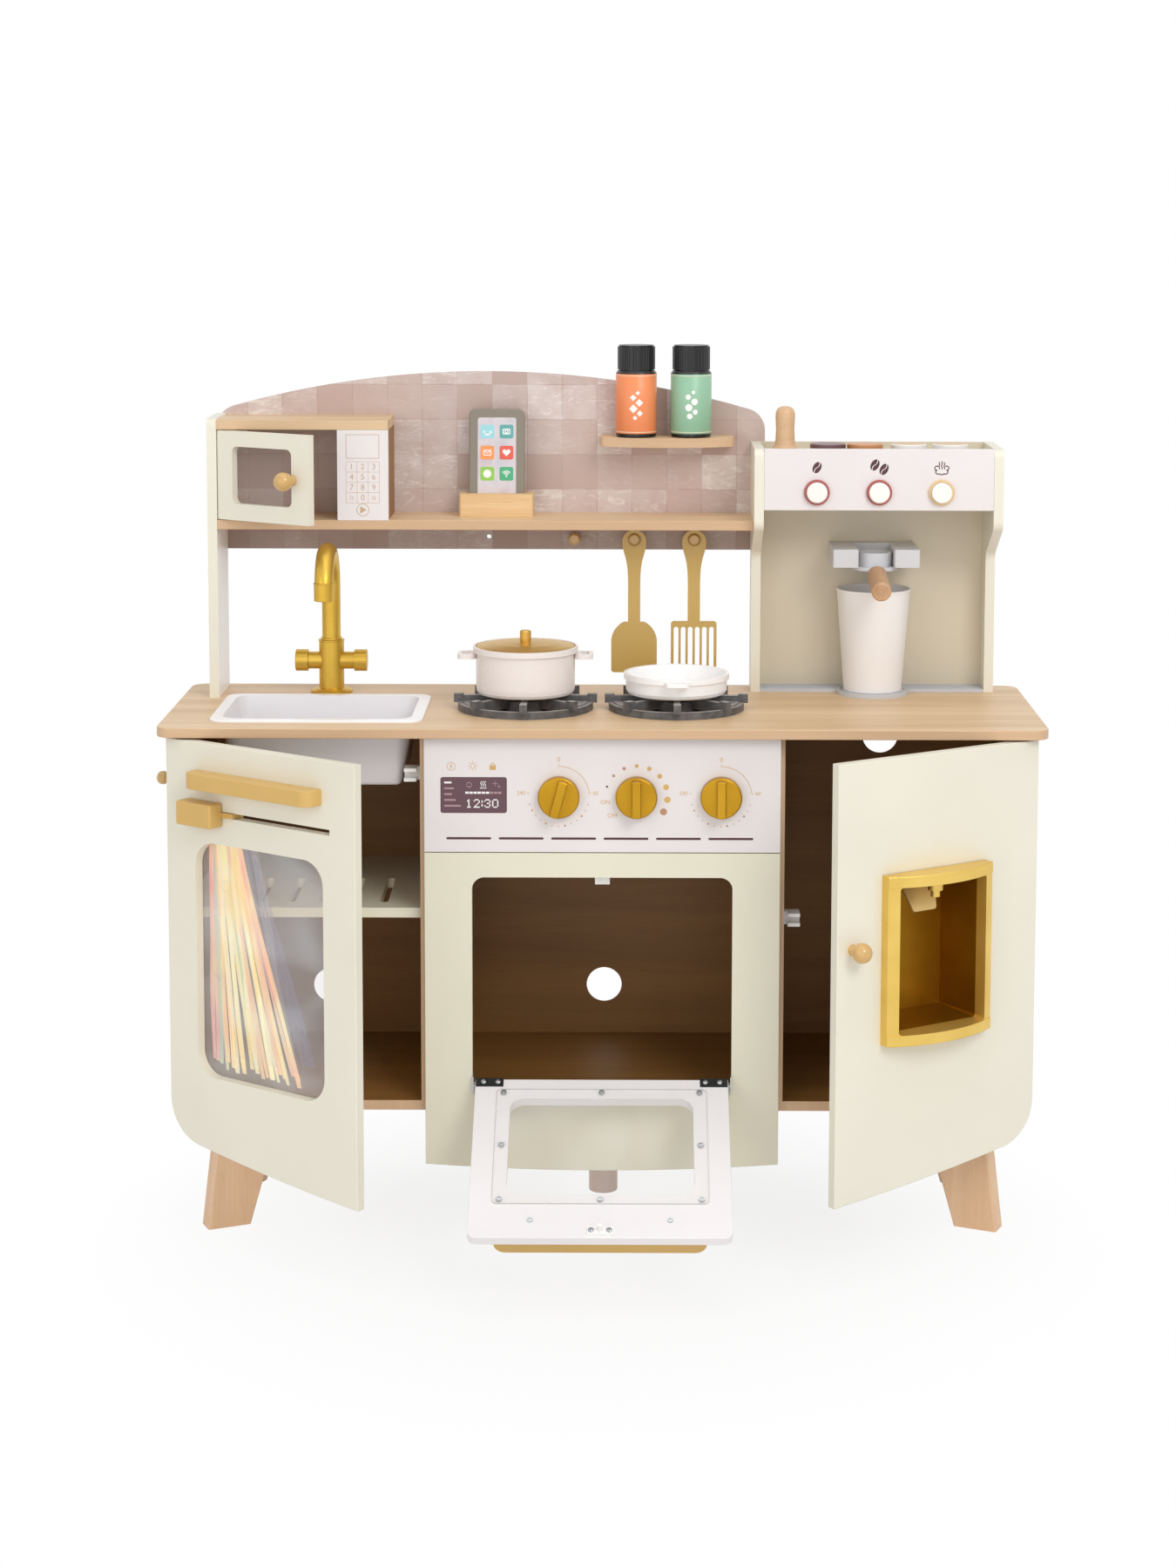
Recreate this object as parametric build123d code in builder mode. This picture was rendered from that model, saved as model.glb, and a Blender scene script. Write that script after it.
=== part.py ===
from build123d import *
import math
import os

# A wooden play kitchen: a cabinet with three doors on four splayed legs, a counter with sink and hob,
# a tiled wall with shelves and a small microwave, a coffee corner, and the loose pots and tools.
# Millimetres. X runs to the right, Y to the back, Z up. The origin is on the floor below the middle.
# Every piece is modelled where it stands with the doors standing open.

# Driving sizes of the cabinet
BOARD = 12
THIN = 3
COUNTER_WIDTH = 1072
COUNTER_DEPTH = 330
COUNTER_TOP = 645
COUNTER_CORNER = 20
CABINET_WIDTH = 1038
CENTRE_WIDTH = 430
DIVIDER_OUTER = 220.5
FLOOR_TOP = 180
EASE = 1.2
GAP = 0.3
SEAM = 0.05

# Depths, counted from the counter's front edge towards the back
COUNTER_FRONT = -60
FACE = COUNTER_FRONT + 15
CARCASS = FACE + BOARD
CARCASS_BACK = COUNTER_FRONT + 327
COUNTER_BACK = COUNTER_FRONT + COUNTER_DEPTH
SHELF_FRONT = COUNTER_FRONT + 218
WALL = COUNTER_FRONT + 318
WALL_BACK = WALL + 9

# Heights that several pieces share
CARCASS_TOP = COUNTER_TOP - BOARD
CARCASS_BOTTOM = FLOOR_TOP - BOARD
DOOR_TOP = CARCASS_TOP - 2
PANEL_BOTTOM = 492
SHELF_BOTTOM = 860
SHELF_TOP = SHELF_BOTTOM + BOARD

# The fronts end below in one long arc, lowest in the middle, with large outer corners
DIP = 96
DIP_RADIUS = 2900
DIP_CORNER = 55

# The doors: their widths, and how far each stands open
DOOR_WIDTH = 300
LEFT_OPEN = 36
RIGHT_OPEN = 33
OVEN_OPEN = 120
MICROWAVE_OPEN = 33

# The butt hinges: knuckle, pin, bore and the clearance cut round a knuckle
KNUCKLE = 2.2
KNUCKLE_CUT = 2.6
PIN = 1.0
PIN_BORE = 1.08
HINGE_HEIGHT = 30
HINGE_LEVELS = (240, 585)
LEAF = 1
HINGE_X = 518.4
HINGE_Y = CARCASS - 0.15
DOOR_EDGE = 0.4

# The oven: its opening, and its door about a pin in front of the opening's sill
OVEN_HALF = 157.5
OVEN_SILL = 203
OVEN_HEAD = 461
OVEN_PIN_Y = FACE - 2.6
OVEN_DOOR_HALF = 153
OVEN_DOOR_LOW = 3
OVEN_DOOR_HIGH = 248
OVEN_DOOR_OUT = -2.6
OVEN_DOOR_IN = OVEN_DOOR_OUT - BOARD

# Sink, hob and coffee corner
SINK_X = -348.5
SINK_Y = COUNTER_FRONT + 137
SINK_RIM = (259, 196)
SINK_BOWL = (236, 173)
SINK_DEPTH = 82
FAUCET_X = -350
FAUCET_Y = COUNTER_FRONT + 268
BURNERS = (-97, 90.6)
BURNER_Y = COUNTER_FRONT + 148
GRATE_RADIUS = 84
GRATE_TOP = 664
COFFEE_X = (188, 500)
COFFEE_MID = sum(COFFEE_X) / 2
COFFEE_TOP = 965
COFFEE_FRONT = COUNTER_FRONT + 198
COFFEE_BAY_FRONT = COUNTER_FRONT + 276
CUP_Y = WALL - THIN - 48.5
PEG_LEVEL = 840
KNOB_LEVEL = 560.5
KNOB_PLACES = (-52.5, 41, 143)
BUTTON_LEVEL = 911
BUTTON_PITCH = 78

pieces = {}


def block(x, y, z, mode=Mode.ADD):
    """A box between two corners, in the row's own axes."""
    with Locations(((x[0] + x[1]) / 2, (y[0] + y[1]) / 2, (z[0] + z[1]) / 2)):
        Box(x[1] - x[0], y[1] - y[0], z[1] - z[0], mode=mode)


def slab(plane, x, y, depth, mode=Mode.ADD, radius=0):
    """A rectangle on a plane between two corners, pulled out from it by depth."""
    with BuildSketch(plane) as outline:
        with Locations(((x[0] + x[1]) / 2, (y[0] + y[1]) / 2)):
            if radius:
                RectangleRounded(x[1] - x[0], y[1] - y[0], radius)
            else:
                Rectangle(x[1] - x[0], y[1] - y[0])
    extrude(outline.sketch, amount=depth, mode=mode)


def rod(plane, radius, depth, mode=Mode.ADD, at=(0, 0)):
    """A round bar or hole on a plane."""
    with BuildSketch(plane) as outline:
        with Locations(at):
            Circle(radius)
    extrude(outline.sketch, amount=depth, mode=mode)


def turned(origin, points, mode=Mode.ADD, axis_dir=(0, 0, 1)):
    """A solid of revolution: points are (radius, height) about an axis through origin."""
    side = Plane(origin=origin, x_dir=(1, 0, 0) if axis_dir[0] == 0 else (0, 1, 0), z_dir=cross_dir(axis_dir))
    with BuildSketch(side) as outline:
        with BuildLine() as edge:
            Polyline(*points, close=True)
        make_face(edge.edges())
    revolve(outline.sketch, axis=Axis(origin, axis_dir), mode=mode)


def cross_dir(axis_dir):
    """The normal of a plane whose x is level and whose y is axis_dir."""
    level = Vector(1, 0, 0) if axis_dir[0] == 0 else Vector(0, 1, 0)
    return level.cross(Vector(*axis_dir))


def ease(faces, radius=EASE):
    """Round the outline of each face."""
    fillet([edge for face in faces for edge in face.outer_wire().edges()], radius)


def front_edge_height(x):
    """Height of the fronts' long lower arc at a place across the cabinet."""
    return DIP + DIP_RADIUS - math.sqrt(DIP_RADIUS**2 - x**2)


def arched_panel(left, right, top, shift=0):
    """A front between two places across, with the arc below and a square top."""
    middle = (left + right) / 2
    with BuildLine() as edge:
        low_left = (left + shift, front_edge_height(left))
        low_right = (right + shift, front_edge_height(right))
        ThreePointArc(low_left, (middle + shift, front_edge_height(middle)), low_right)
        Polyline(low_right, (right + shift, top), (left + shift, top), low_left)
    make_face(edge.edges())


def hinged_face(x, y, turn, z=0):
    """A door's face plane about an upright hinge line; z_dir points out of the front."""
    swing = math.radians(turn)
    return Plane(
        origin=(x, y, z),
        x_dir=(math.cos(swing), math.sin(swing), 0),
        z_dir=(math.sin(swing), -math.cos(swing), 0),
    )


def hinged_plan(x, y, turn, z):
    """The level plane of the same door: x along it and y to its back."""
    swing = math.radians(turn)
    return Plane(origin=(x, y, z), x_dir=(math.cos(swing), math.sin(swing), 0), z_dir=(0, 0, 1))


def tilted_face(opened):
    """The oven door's face plane about its level pin; z_dir points out of its front."""
    swing = math.radians(opened)
    return Plane(
        origin=(0, OVEN_PIN_Y, OVEN_SILL),
        x_dir=(1, 0, 0),
        z_dir=(0, -math.cos(swing), -math.sin(swing)),
    )


left_face = hinged_face(-HINGE_X, HINGE_Y, -LEFT_OPEN)
right_face = hinged_face(HINGE_X, HINGE_Y, RIGHT_OPEN)
oven_face = tilted_face(OVEN_OPEN)


# Counter: one board with rounded corners and the cut-out for the sink
with BuildPart() as countertop:
    with BuildSketch(Plane.XY.offset(CARCASS_TOP)):
        with Locations((0, COUNTER_FRONT + COUNTER_DEPTH / 2)):
            RectangleRounded(COUNTER_WIDTH, COUNTER_DEPTH, COUNTER_CORNER)
        with Locations((SINK_X, SINK_Y)):
            RectangleRounded(SINK_BOWL[0] + 3, SINK_BOWL[1] + 3, 24, mode=Mode.SUBTRACT)
    extrude(amount=BOARD)
    ease([countertop.faces().sort_by(Axis.Z)[-1], countertop.faces().sort_by(Axis.Z)[0]])
pieces["countertop"] = countertop

# Cabinet floor, sides and the two dividers, with mortises for the doors' fixed hinge leaves
with BuildPart() as base_boards:
    inner_half = CABINET_WIDTH / 2 - BOARD - SEAM
    block((-inner_half, inner_half), (CARCASS, CARCASS_BACK), (CARCASS_BOTTOM, FLOOR_TOP))
    for side in (-1, 1):
        outer = side * CABINET_WIDTH / 2
        inner = outer - side * BOARD
        block(sorted((outer, inner)), (CARCASS, CARCASS_BACK), (CARCASS_BOTTOM, CARCASS_TOP))
        divider = side * DIVIDER_OUTER
        other = divider - side * BOARD
        block(sorted((divider, other)), (CARCASS, CARCASS_BACK), (FLOOR_TOP + SEAM, CARCASS_TOP))
        for level in HINGE_LEVELS:
            low = level - HINGE_HEIGHT / 2
            leaf_x = sorted((side * HINGE_X, inner))
            block(leaf_x, (CARCASS, CARCASS + LEAF), (low, low + HINGE_HEIGHT), Mode.SUBTRACT)
            pivot = Plane(origin=(side * HINGE_X, HINGE_Y, low - 0.5))
            rod(pivot, KNUCKLE_CUT, HINGE_HEIGHT + 1, Mode.SUBTRACT)
pieces["base_boards"] = base_boards

# Thin cabinet back with three round holes
BACK_HOLES = ((0, 245), (-360, 243), (360, 579))
BACK_HOLE_RADIUS = 23
with BuildPart() as base_back:
    half = CABINET_WIDTH / 2
    block((-half, half), (CARCASS_BACK, COUNTER_BACK), (CARCASS_BOTTOM, CARCASS_TOP))
    rear = Plane.XZ.offset(-COUNTER_BACK - 1)
    for place in BACK_HOLES:
        rod(rear, BACK_HOLE_RADIUS, THIN + 2, Mode.SUBTRACT, at=place)
pieces["base_back"] = base_back

# Slotted shelf of the left compartment
SLOT_PITCH = 38
FIRST_SLOT = -458.5
SLOT_COUNT = 6
with BuildPart() as slotted_shelf:
    shelf_z = (405, 417)
    block((-CABINET_WIDTH / 2 + BOARD, -DIVIDER_OUTER), (CARCASS + 13, CARCASS_BACK), shelf_z)
    with BuildSketch(Plane.XY.offset(shelf_z[0] - 1)) as slots:
        for index in range(SLOT_COUNT):
            with Locations((FIRST_SLOT + index * SLOT_PITCH, COUNTER_FRONT + 133.5)):
                SlotOverall(127, 10, rotation=90)
    extrude(slots.sketch, amount=BOARD + 2, mode=Mode.SUBTRACT)
pieces["slotted_shelf"] = slotted_shelf

# Legs: four thick boards, wider above, turned to the corners and splayed outwards, and a round centre foot
LEG_THICK = 28
LEG_FOOT = 55
LEG_TURN = math.radians(24.7)
LEG_FOOT_PLACE = (-489, COUNTER_FRONT + 69)
LEG_OUTER_LEAN = math.tan(math.radians(7))
LEG_INNER_LEAN = math.tan(math.radians(17))
CENTRE_FOOT_RADIUS = 18.5
CENTRE_FOOT_Y = 169
with BuildPart() as legs:
    foot = Plane(
        origin=(*LEG_FOOT_PLACE, 0),
        x_dir=(math.cos(LEG_TURN), math.sin(LEG_TURN), 0),
        z_dir=(math.sin(LEG_TURN), -math.cos(LEG_TURN), 0),
    )
    with BuildSketch(foot) as leg_side:
        with BuildLine():
            Polyline(
                (0, 0),
                (LEG_FOOT, 0),
                (LEG_FOOT + CARCASS_BOTTOM * LEG_INNER_LEAN, CARCASS_BOTTOM),
                (CARCASS_BOTTOM * LEG_OUTER_LEAN, CARCASS_BOTTOM),
                close=True,
            )
        make_face()
    extrude(leg_side.sketch, amount=-LEG_THICK)
    long_edges = legs.edges().filter_by(lambda edge: edge.length > CARCASS_BOTTOM)
    fillet(long_edges, 2.5)
    mirror(about=Plane.XZ.offset(-(CARCASS + CARCASS_BACK) / 2))
    mirror(about=Plane.YZ)
    rod(Plane.XY, CENTRE_FOOT_RADIUS, CARCASS_BOTTOM, at=(0, CENTRE_FOOT_Y))
    ease([legs.faces().filter_by(Plane.XY).filter_by(GeomType.PLANE).sort_by_distance((0, CENTRE_FOOT_Y, 0))[0]])
pieces["legs"] = legs

# Control panel above the oven, with a bore for each knob's shaft
KNOB_SHAFT = 4
with BuildPart() as control_panel:
    half = CENTRE_WIDTH / 2
    block((-half, half), (FACE, CARCASS), (PANEL_BOTTOM, CARCASS_TOP - 1))
    ease([control_panel.faces().sort_by(Axis.Y)[0]], 0.8)
    for place in KNOB_PLACES:
        rod(Plane.XZ.offset(-CARCASS - 1), KNOB_SHAFT + 0.3, BOARD + 2, Mode.SUBTRACT, at=(place, KNOB_LEVEL))
pieces["control_panel"] = control_panel

# Oven front: the opening has rounded upper corners
with BuildPart() as oven_front:
    half = CENTRE_WIDTH / 2
    with BuildSketch(Plane.XZ.offset(-CARCASS)) as frame_outline:
        arched_panel(-half, half, PANEL_BOTTOM - 1)
    extrude(frame_outline.sketch, amount=BOARD)
    with BuildSketch(Plane.XZ.offset(-CARCASS - 1)) as mouth:
        with Locations((0, (OVEN_SILL + OVEN_HEAD) / 2)):
            Rectangle(2 * OVEN_HALF, OVEN_HEAD - OVEN_SILL)
        fillet(mouth.vertices().group_by(Axis.Y)[-1], 15)
    extrude(mouth.sketch, amount=BOARD + 2, mode=Mode.SUBTRACT)
    ease([oven_front.faces().sort_by(Axis.Y)[0]], 0.8)
pieces["oven_front"] = oven_front

# Sink: a flat rim on the counter and a tapered bowl through the cut-out
with BuildPart() as sink_basin:
    with BuildSketch(Plane.XY.offset(COUNTER_TOP)) as rim:
        with Locations((SINK_X, SINK_Y)):
            RectangleRounded(*SINK_RIM, 20)
    extrude(rim.sketch, amount=3)
    fillet(sink_basin.faces().sort_by(Axis.Z)[-1].edges(), 1.6)
    with BuildSketch(Plane.XY.offset(COUNTER_TOP)) as bowl:
        with Locations((SINK_X, SINK_Y)):
            RectangleRounded(*SINK_BOWL, 24)
    extrude(bowl.sketch, amount=-SINK_DEPTH, taper=11)
    with BuildSketch(Plane.XY.offset(COUNTER_TOP + 3)) as hollow:
        with Locations((SINK_X, SINK_Y)):
            RectangleRounded(SINK_BOWL[0] - 5, SINK_BOWL[1] - 5, 21.5)
    extrude(hollow.sketch, amount=-SINK_DEPTH, taper=11, mode=Mode.SUBTRACT)
    inner_floor = sink_basin.faces().filter_by(Plane.XY).sort_by(Axis.Z)[1]
    fillet(inner_floor.outer_wire().edges(), 7)
    outer_floor = sink_basin.faces().sort_by(Axis.Z)[0]
    fillet(outer_floor.outer_wire().edges(), 7)
    rod(Plane.XY.offset(COUNTER_TOP + 3 - SINK_DEPTH), 11, -1.2, Mode.SUBTRACT, at=(SINK_X, SINK_Y))
pieces["sink_basin"] = sink_basin

# Faucet: flange, body and cross arms; the spout and the two tap heads turn on it
FAUCET_BODY_TOP = 713
ARM_LEVEL = 686
ARM_HALF = 29.4
TAP_LENGTH = 16
with BuildPart() as faucet_body:
    turned(
        (FAUCET_X, FAUCET_Y, COUNTER_TOP),
        ((0, 0), (26.5, 0), (26.5, 3), (23, 5), (16, 6.5), (16, 66), (16.8, 66.5), (16.8, 68), (0, 68)),
    )
    rod(Plane.YZ.offset(FAUCET_X - ARM_HALF), 11, 2 * ARM_HALF, at=(FAUCET_Y, ARM_LEVEL))
pieces["faucet_body"] = faucet_body

with BuildPart() as faucet_spout:
    base = FAUCET_BODY_TOP + GAP
    bend = 46
    bend_level = 785
    turned((FAUCET_X, FAUCET_Y, base), ((0, 0), (13.4, 0), (13.4, 2), (12.6, 3), (0, 3)))
    with BuildLine() as tube_path:
        Line((FAUCET_X, FAUCET_Y, base + 2), (FAUCET_X, FAUCET_Y, bend_level))
        ThreePointArc(
            (FAUCET_X, FAUCET_Y, bend_level),
            (FAUCET_X, FAUCET_Y - bend, bend_level + bend),
            (FAUCET_X, FAUCET_Y - 2 * bend, bend_level),
        )
    with BuildSketch(Plane(origin=(FAUCET_X, FAUCET_Y, base + 2))) as tube:
        Circle(11.8)
    sweep(tube.sketch, path=tube_path.line)
    turned(
        (FAUCET_X, FAUCET_Y - 2 * bend, 775),
        ((0, 0), (11.4, 0), (12.2, 0.8), (12.2, 21), (12.7, 21.4), (12.7, 22.6), (11.8, 23.2), (0, 23.2)),
    )
    rod(Plane(origin=(FAUCET_X, FAUCET_Y - 2 * bend, 775)), 8, 6, Mode.SUBTRACT)
pieces["faucet_spout"] = faucet_spout

for side, name in ((-1, "faucet_tap_left"), (1, "faucet_tap_right")):
    start = FAUCET_X + side * (ARM_HALF + GAP)
    with BuildPart() as tap:
        with BuildSketch(Plane.YZ.offset(start)) as tap_round:
            with Locations((FAUCET_Y, ARM_LEVEL)):
                Circle(13.8)
                with PolarLocations(14.4, 12):
                    Circle(1, mode=Mode.SUBTRACT)
        extrude(tap_round.sketch, amount=side * TAP_LENGTH)
        chamfer(tap.faces().filter_by(Plane.YZ).sort_by(Axis.X)[-1 if side > 0 else 0].edges(), 0.8)
    pieces[name] = tap

# Hob: each grate is a ring with eight prongs, a hub ring and two solid sectors
with BuildPart() as burner_grates:
    for burner_x in BURNERS:
        centre = Plane(origin=(burner_x, BURNER_Y, COUNTER_TOP))
        with BuildSketch(centre) as ring:
            Circle(GRATE_RADIUS)
            Circle(GRATE_RADIUS - 7, mode=Mode.SUBTRACT)
        extrude(ring.sketch, amount=9)
        with BuildSketch(centre) as hub:
            Circle(31)
            Circle(24, mode=Mode.SUBTRACT)
        extrude(hub.sketch, amount=12)
        with BuildSketch(centre.offset(4)) as sectors:
            Circle(GRATE_RADIUS - 6)
            Circle(29, mode=Mode.SUBTRACT)
            for quarter in (90, 270):
                with Locations(Location((0, 0), quarter)):
                    Polygon((0, 0), (120, -120), (120, 120), align=None, mode=Mode.SUBTRACT)
        extrude(sectors.sketch, amount=6)
        with BuildSketch(centre.offset(4)) as spokes:
            with PolarLocations(0, 8):
                with Locations((55, 0)):
                    Rectangle(58, 8)
        extrude(spokes.sketch, amount=13)
        with BuildSketch(centre.offset(8)) as prongs:
            with PolarLocations(0, 8):
                with Locations((GRATE_RADIUS - 1, 0)):
                    Rectangle(12, 9)
        extrude(prongs.sketch, amount=GRATE_TOP - COUNTER_TOP - 8)
pieces["burner_grates"] = burner_grates

# Tiled wall board behind the shelf, arched above, with a hole for the wall anchor
ANCHOR = (-150, PEG_LEVEL)
ANCHOR_RADIUS = 3
WALL_X = (-500, 206)
WALL_LOW = 824
with BuildPart() as backsplash:
    with BuildSketch(Plane.XZ.offset(-WALL_BACK)) as arch:
        with BuildLine():
            Polyline((WALL_X[0], 1003), (WALL_X[0], WALL_LOW), (WALL_X[1], WALL_LOW), (WALL_X[1], 1000))
            ThreePointArc((WALL_X[1], 1000), (-146, 1054), (WALL_X[0], 1003))
        make_face()
        fillet(arch.vertices().group_by(Axis.Y)[-1], 28)
        fillet(arch.vertices().group_by(Axis.Y)[-2], 28)
        with Locations(ANCHOR):
            Circle(ANCHOR_RADIUS, mode=Mode.SUBTRACT)
    extrude(arch.sketch, amount=WALL_BACK - WALL)
pieces["backsplash"] = backsplash

# Upright at the left of the wall board
with BuildPart() as upright_left:
    block((WALL_X[0], WALL_X[0] + BOARD), (SHELF_FRONT, WALL), (COUNTER_TOP, 1000))
    corner = upright_left.edges().filter_by(Axis.X).sort_by(Axis.Z)[-2:].sort_by(Axis.Y)[0]
    fillet(corner, 10)
pieces["upright_left"] = upright_left

# Wooden shelves: the long one, with the microwave's lower pin hole, and the bowed spice shelf
MICROWAVE_PIN = (WALL_X[0] + BOARD + 5.5, SHELF_FRONT + 5.5)
SPICE_TOP = 973
with BuildPart() as wood_shelves:
    block((WALL_X[0] + BOARD, COFFEE_X[0]), (SHELF_FRONT, WALL), (SHELF_BOTTOM, SHELF_TOP))
    ease([wood_shelves.faces().sort_by(Axis.Y)[0]], 0.8)
    with BuildSketch(Plane.XY.offset(SPICE_TOP - BOARD)) as bow:
        with BuildLine():
            Polyline((-6, WALL - 38), (-6, WALL), (165, WALL), (165, WALL - 38))
            ThreePointArc((165, WALL - 38), (79.5, WALL - 60), (-6, WALL - 38))
        make_face()
        fillet(bow.vertices().group_by(Axis.Y)[0], 10)
    extrude(bow.sketch, amount=BOARD)
pieces["wood_shelves"] = wood_shelves

# Microwave case: top board, right side, inner side, and the white keypad front
MICROWAVE_TOP = 986
KEYPAD_X = (-336, -272)
with BuildPart() as microwave_case:
    block((WALL_X[0] + BOARD, KEYPAD_X[1]), (SHELF_FRONT, WALL), (MICROWAVE_TOP, MICROWAVE_TOP + BOARD))
    ease([microwave_case.faces().sort_by(Axis.Y)[0]], 0.8)
    side_z = (SHELF_TOP, MICROWAVE_TOP - SEAM)
    block((KEYPAD_X[1] - BOARD, KEYPAD_X[1]), (SHELF_FRONT + BOARD, WALL), side_z)
    block((KEYPAD_X[0], KEYPAD_X[0] + 9), (SHELF_FRONT + BOARD, WALL), side_z)
pieces["microwave_case"] = microwave_case

with BuildPart() as microwave_keypad:
    block(KEYPAD_X, (SHELF_FRONT, SHELF_FRONT + BOARD), (SHELF_TOP, MICROWAVE_TOP))
pieces["microwave_keypad"] = microwave_keypad

# Pegs: three below the long shelf for tools, and two on the cabinet's left side for cloths
PEG_RADIUS = 7.5
TOOL_PEGS = (-39, 38, 115)
CLOTH_PEG_LEVEL = 568
with BuildPart() as peg_hooks:
    for peg_x in TOOL_PEGS:
        rod(Plane.XZ.offset(-WALL), PEG_RADIUS, 30, at=(peg_x, PEG_LEVEL))
    tips = peg_hooks.faces().filter_by(Plane.XZ).group_by(Axis.Y)[0]
    ease(tips, 2.5)
    for depth in (87, 186):
        turned(
            (-CABINET_WIDTH / 2, COUNTER_FRONT + depth, CLOTH_PEG_LEVEL),
            ((0, 0), (5, 0), (4, 6), (4, 14), (6.5, 16), (8.3, 19), (8.3, 23), (6.5, 26.5), (3, 28.5), (0, 29)),
            axis_dir=(-1, 0, 0),
        )
pieces["peg_hooks"] = peg_hooks

# Coffee corner: two sides with a stepped front edge, a thin back and a tray board on top
COFFEE_TRAY_TOP = 942
with BuildPart() as coffee_housing:
    for left in (COFFEE_X[0], COFFEE_X[1] - BOARD):
        with BuildSketch(Plane.YZ.offset(left)) as side_outline:
            with BuildLine():
                Polyline(
                    (COFFEE_BAY_FRONT, COUNTER_TOP),
                    (WALL, COUNTER_TOP),
                    (WALL, COFFEE_TOP),
                    (COFFEE_FRONT, COFFEE_TOP),
                    (COFFEE_FRONT, 865),
                    (COFFEE_BAY_FRONT, 825),
                    close=True,
                )
            make_face()
            step = side_outline.vertices().filter_by_position(Axis.Y, 820, 870)
            fillet(step, 14)
            fillet(side_outline.vertices().sort_by_distance((COFFEE_FRONT, COFFEE_TOP))[0], 10)
        extrude(side_outline.sketch, amount=BOARD)
    inside = (COFFEE_X[0] + BOARD + SEAM, COFFEE_X[1] - BOARD - SEAM)
    block(inside, (WALL - THIN, WALL), (COUNTER_TOP, COFFEE_TOP))
    tray_y = (COFFEE_FRONT + BOARD, WALL - THIN - SEAM)
    block(inside, tray_y, (COFFEE_TRAY_TOP - BOARD, COFFEE_TRAY_TOP))
pieces["coffee_housing"] = coffee_housing

# Coffee control front with three bezels; the button caps slide in its bores
CAP_RADIUS = 13
CAP_BORE = 13.35
BUTTON_PLACES = tuple(COFFEE_MID + step * BUTTON_PITCH for step in (-1, 0, 1))
with BuildPart() as coffee_front:
    block(inside, (COFFEE_FRONT, COFFEE_FRONT + BOARD), (888, COFFEE_TOP))
    ease([coffee_front.faces().sort_by(Axis.Y)[0]], 0.8)
    for place in BUTTON_PLACES:
        rod(Plane.XZ.offset(-COFFEE_FRONT), 16, 5, at=(place, BUTTON_LEVEL))
    bezels = coffee_front.faces().filter_by(Plane.XZ).group_by(Axis.Y)[0]
    ease(bezels, 1.2)
    for place in BUTTON_PLACES:
        through = Plane.XZ.offset(-COFFEE_FRONT - BOARD - 1)
        rod(through, CAP_BORE, BOARD + 8, Mode.SUBTRACT, at=(place, BUTTON_LEVEL))
pieces["coffee_front"] = coffee_front

BUTTON_TRAVEL = 3
for place, name in zip(BUTTON_PLACES, ("left", "middle", "right")):
    with BuildPart() as cap:
        rear = COFFEE_FRONT + BOARD + GAP
        tip = COFFEE_FRONT - 9.5
        rod(Plane.XZ.offset(-rear), CAP_RADIUS, rear - tip, at=(place, BUTTON_LEVEL))
        fillet(cap.faces().sort_by(Axis.Y)[0].edges(), 2)
        rod(Plane.XZ.offset(-rear - 2), 16, 2, at=(place, BUTTON_LEVEL))
    pieces["coffee_button_" + name] = cap

# Group head: a back bar with two blocks, between which the portafilter's ring sits
GROUP_LOW = 813
GROUP_HIGH = 836
GROUP_FRONT = COUNTER_FRONT + 222
RING_GAP = 22.5
with BuildPart() as group_head:
    group_back = WALL - THIN
    for side in (-1, 1):
        near = COFFEE_MID + side * RING_GAP
        far = COFFEE_MID + side * 55
        block(sorted((near, far)), (GROUP_FRONT, group_back), (GROUP_LOW, GROUP_HIGH))
    block((COFFEE_MID - 30, COFFEE_MID + 30), (group_back - 18, group_back), (GROUP_LOW, GROUP_HIGH))
    fillet(group_head.edges().filter_by(Axis.Z).group_by(Axis.Y)[0], 2.5)
    ease([group_head.faces().sort_by(Axis.Z)[-1]], 1.5)
pieces["group_head"] = group_head

# Portafilter: a ring between the blocks, a flange below them, and a wooden grip
RING_Y = COUNTER_FRONT + 252
GRIP_TILT = math.radians(9)
with BuildPart() as portafilter:
    turned(
        (COFFEE_MID, RING_Y, GROUP_LOW - 11),
        ((0, 0), (13, 0), (24, 4), (29.5, 6), (29.5, 10.5), (21.5, 10.5), (21.5, 28), (18, 28), (18, 8), (0, 8)),
    )
    grip_dir = (0, -math.cos(GRIP_TILT), -math.sin(GRIP_TILT))
    grip = Plane(origin=(COFFEE_MID, RING_Y - 24, GROUP_LOW - 7), x_dir=(1, 0, 0), z_dir=grip_dir)
    rod(grip, 4, 16)
    rod(grip.offset(13), 12.4, 74)
    fillet(portafilter.faces().sort_by(Axis.Y)[0].edges(), 3)
pieces["portafilter"] = portafilter

# Drip tray with a coaster in front
COASTER_RADIUS = 46
with BuildPart() as drip_tray:
    block(inside, (COFFEE_BAY_FRONT, WALL - THIN), (COUNTER_TOP, COUNTER_TOP + 2))
    for rib in range(7):
        rib_y = COFFEE_BAY_FRONT + 0.6 + rib * 6
        block(inside, (rib_y, rib_y + 2), (COUNTER_TOP + 2, COUNTER_TOP + 4))
    disc = Plane(origin=(COFFEE_MID, CUP_Y, COUNTER_TOP))
    rod(disc, COASTER_RADIUS, 5)
    with BuildSketch(disc.offset(5)) as groove:
        Circle(42)
        Circle(40, mode=Mode.SUBTRACT)
    extrude(groove.sketch, amount=-1, mode=Mode.SUBTRACT)
pieces["drip_tray"] = drip_tray


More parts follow.
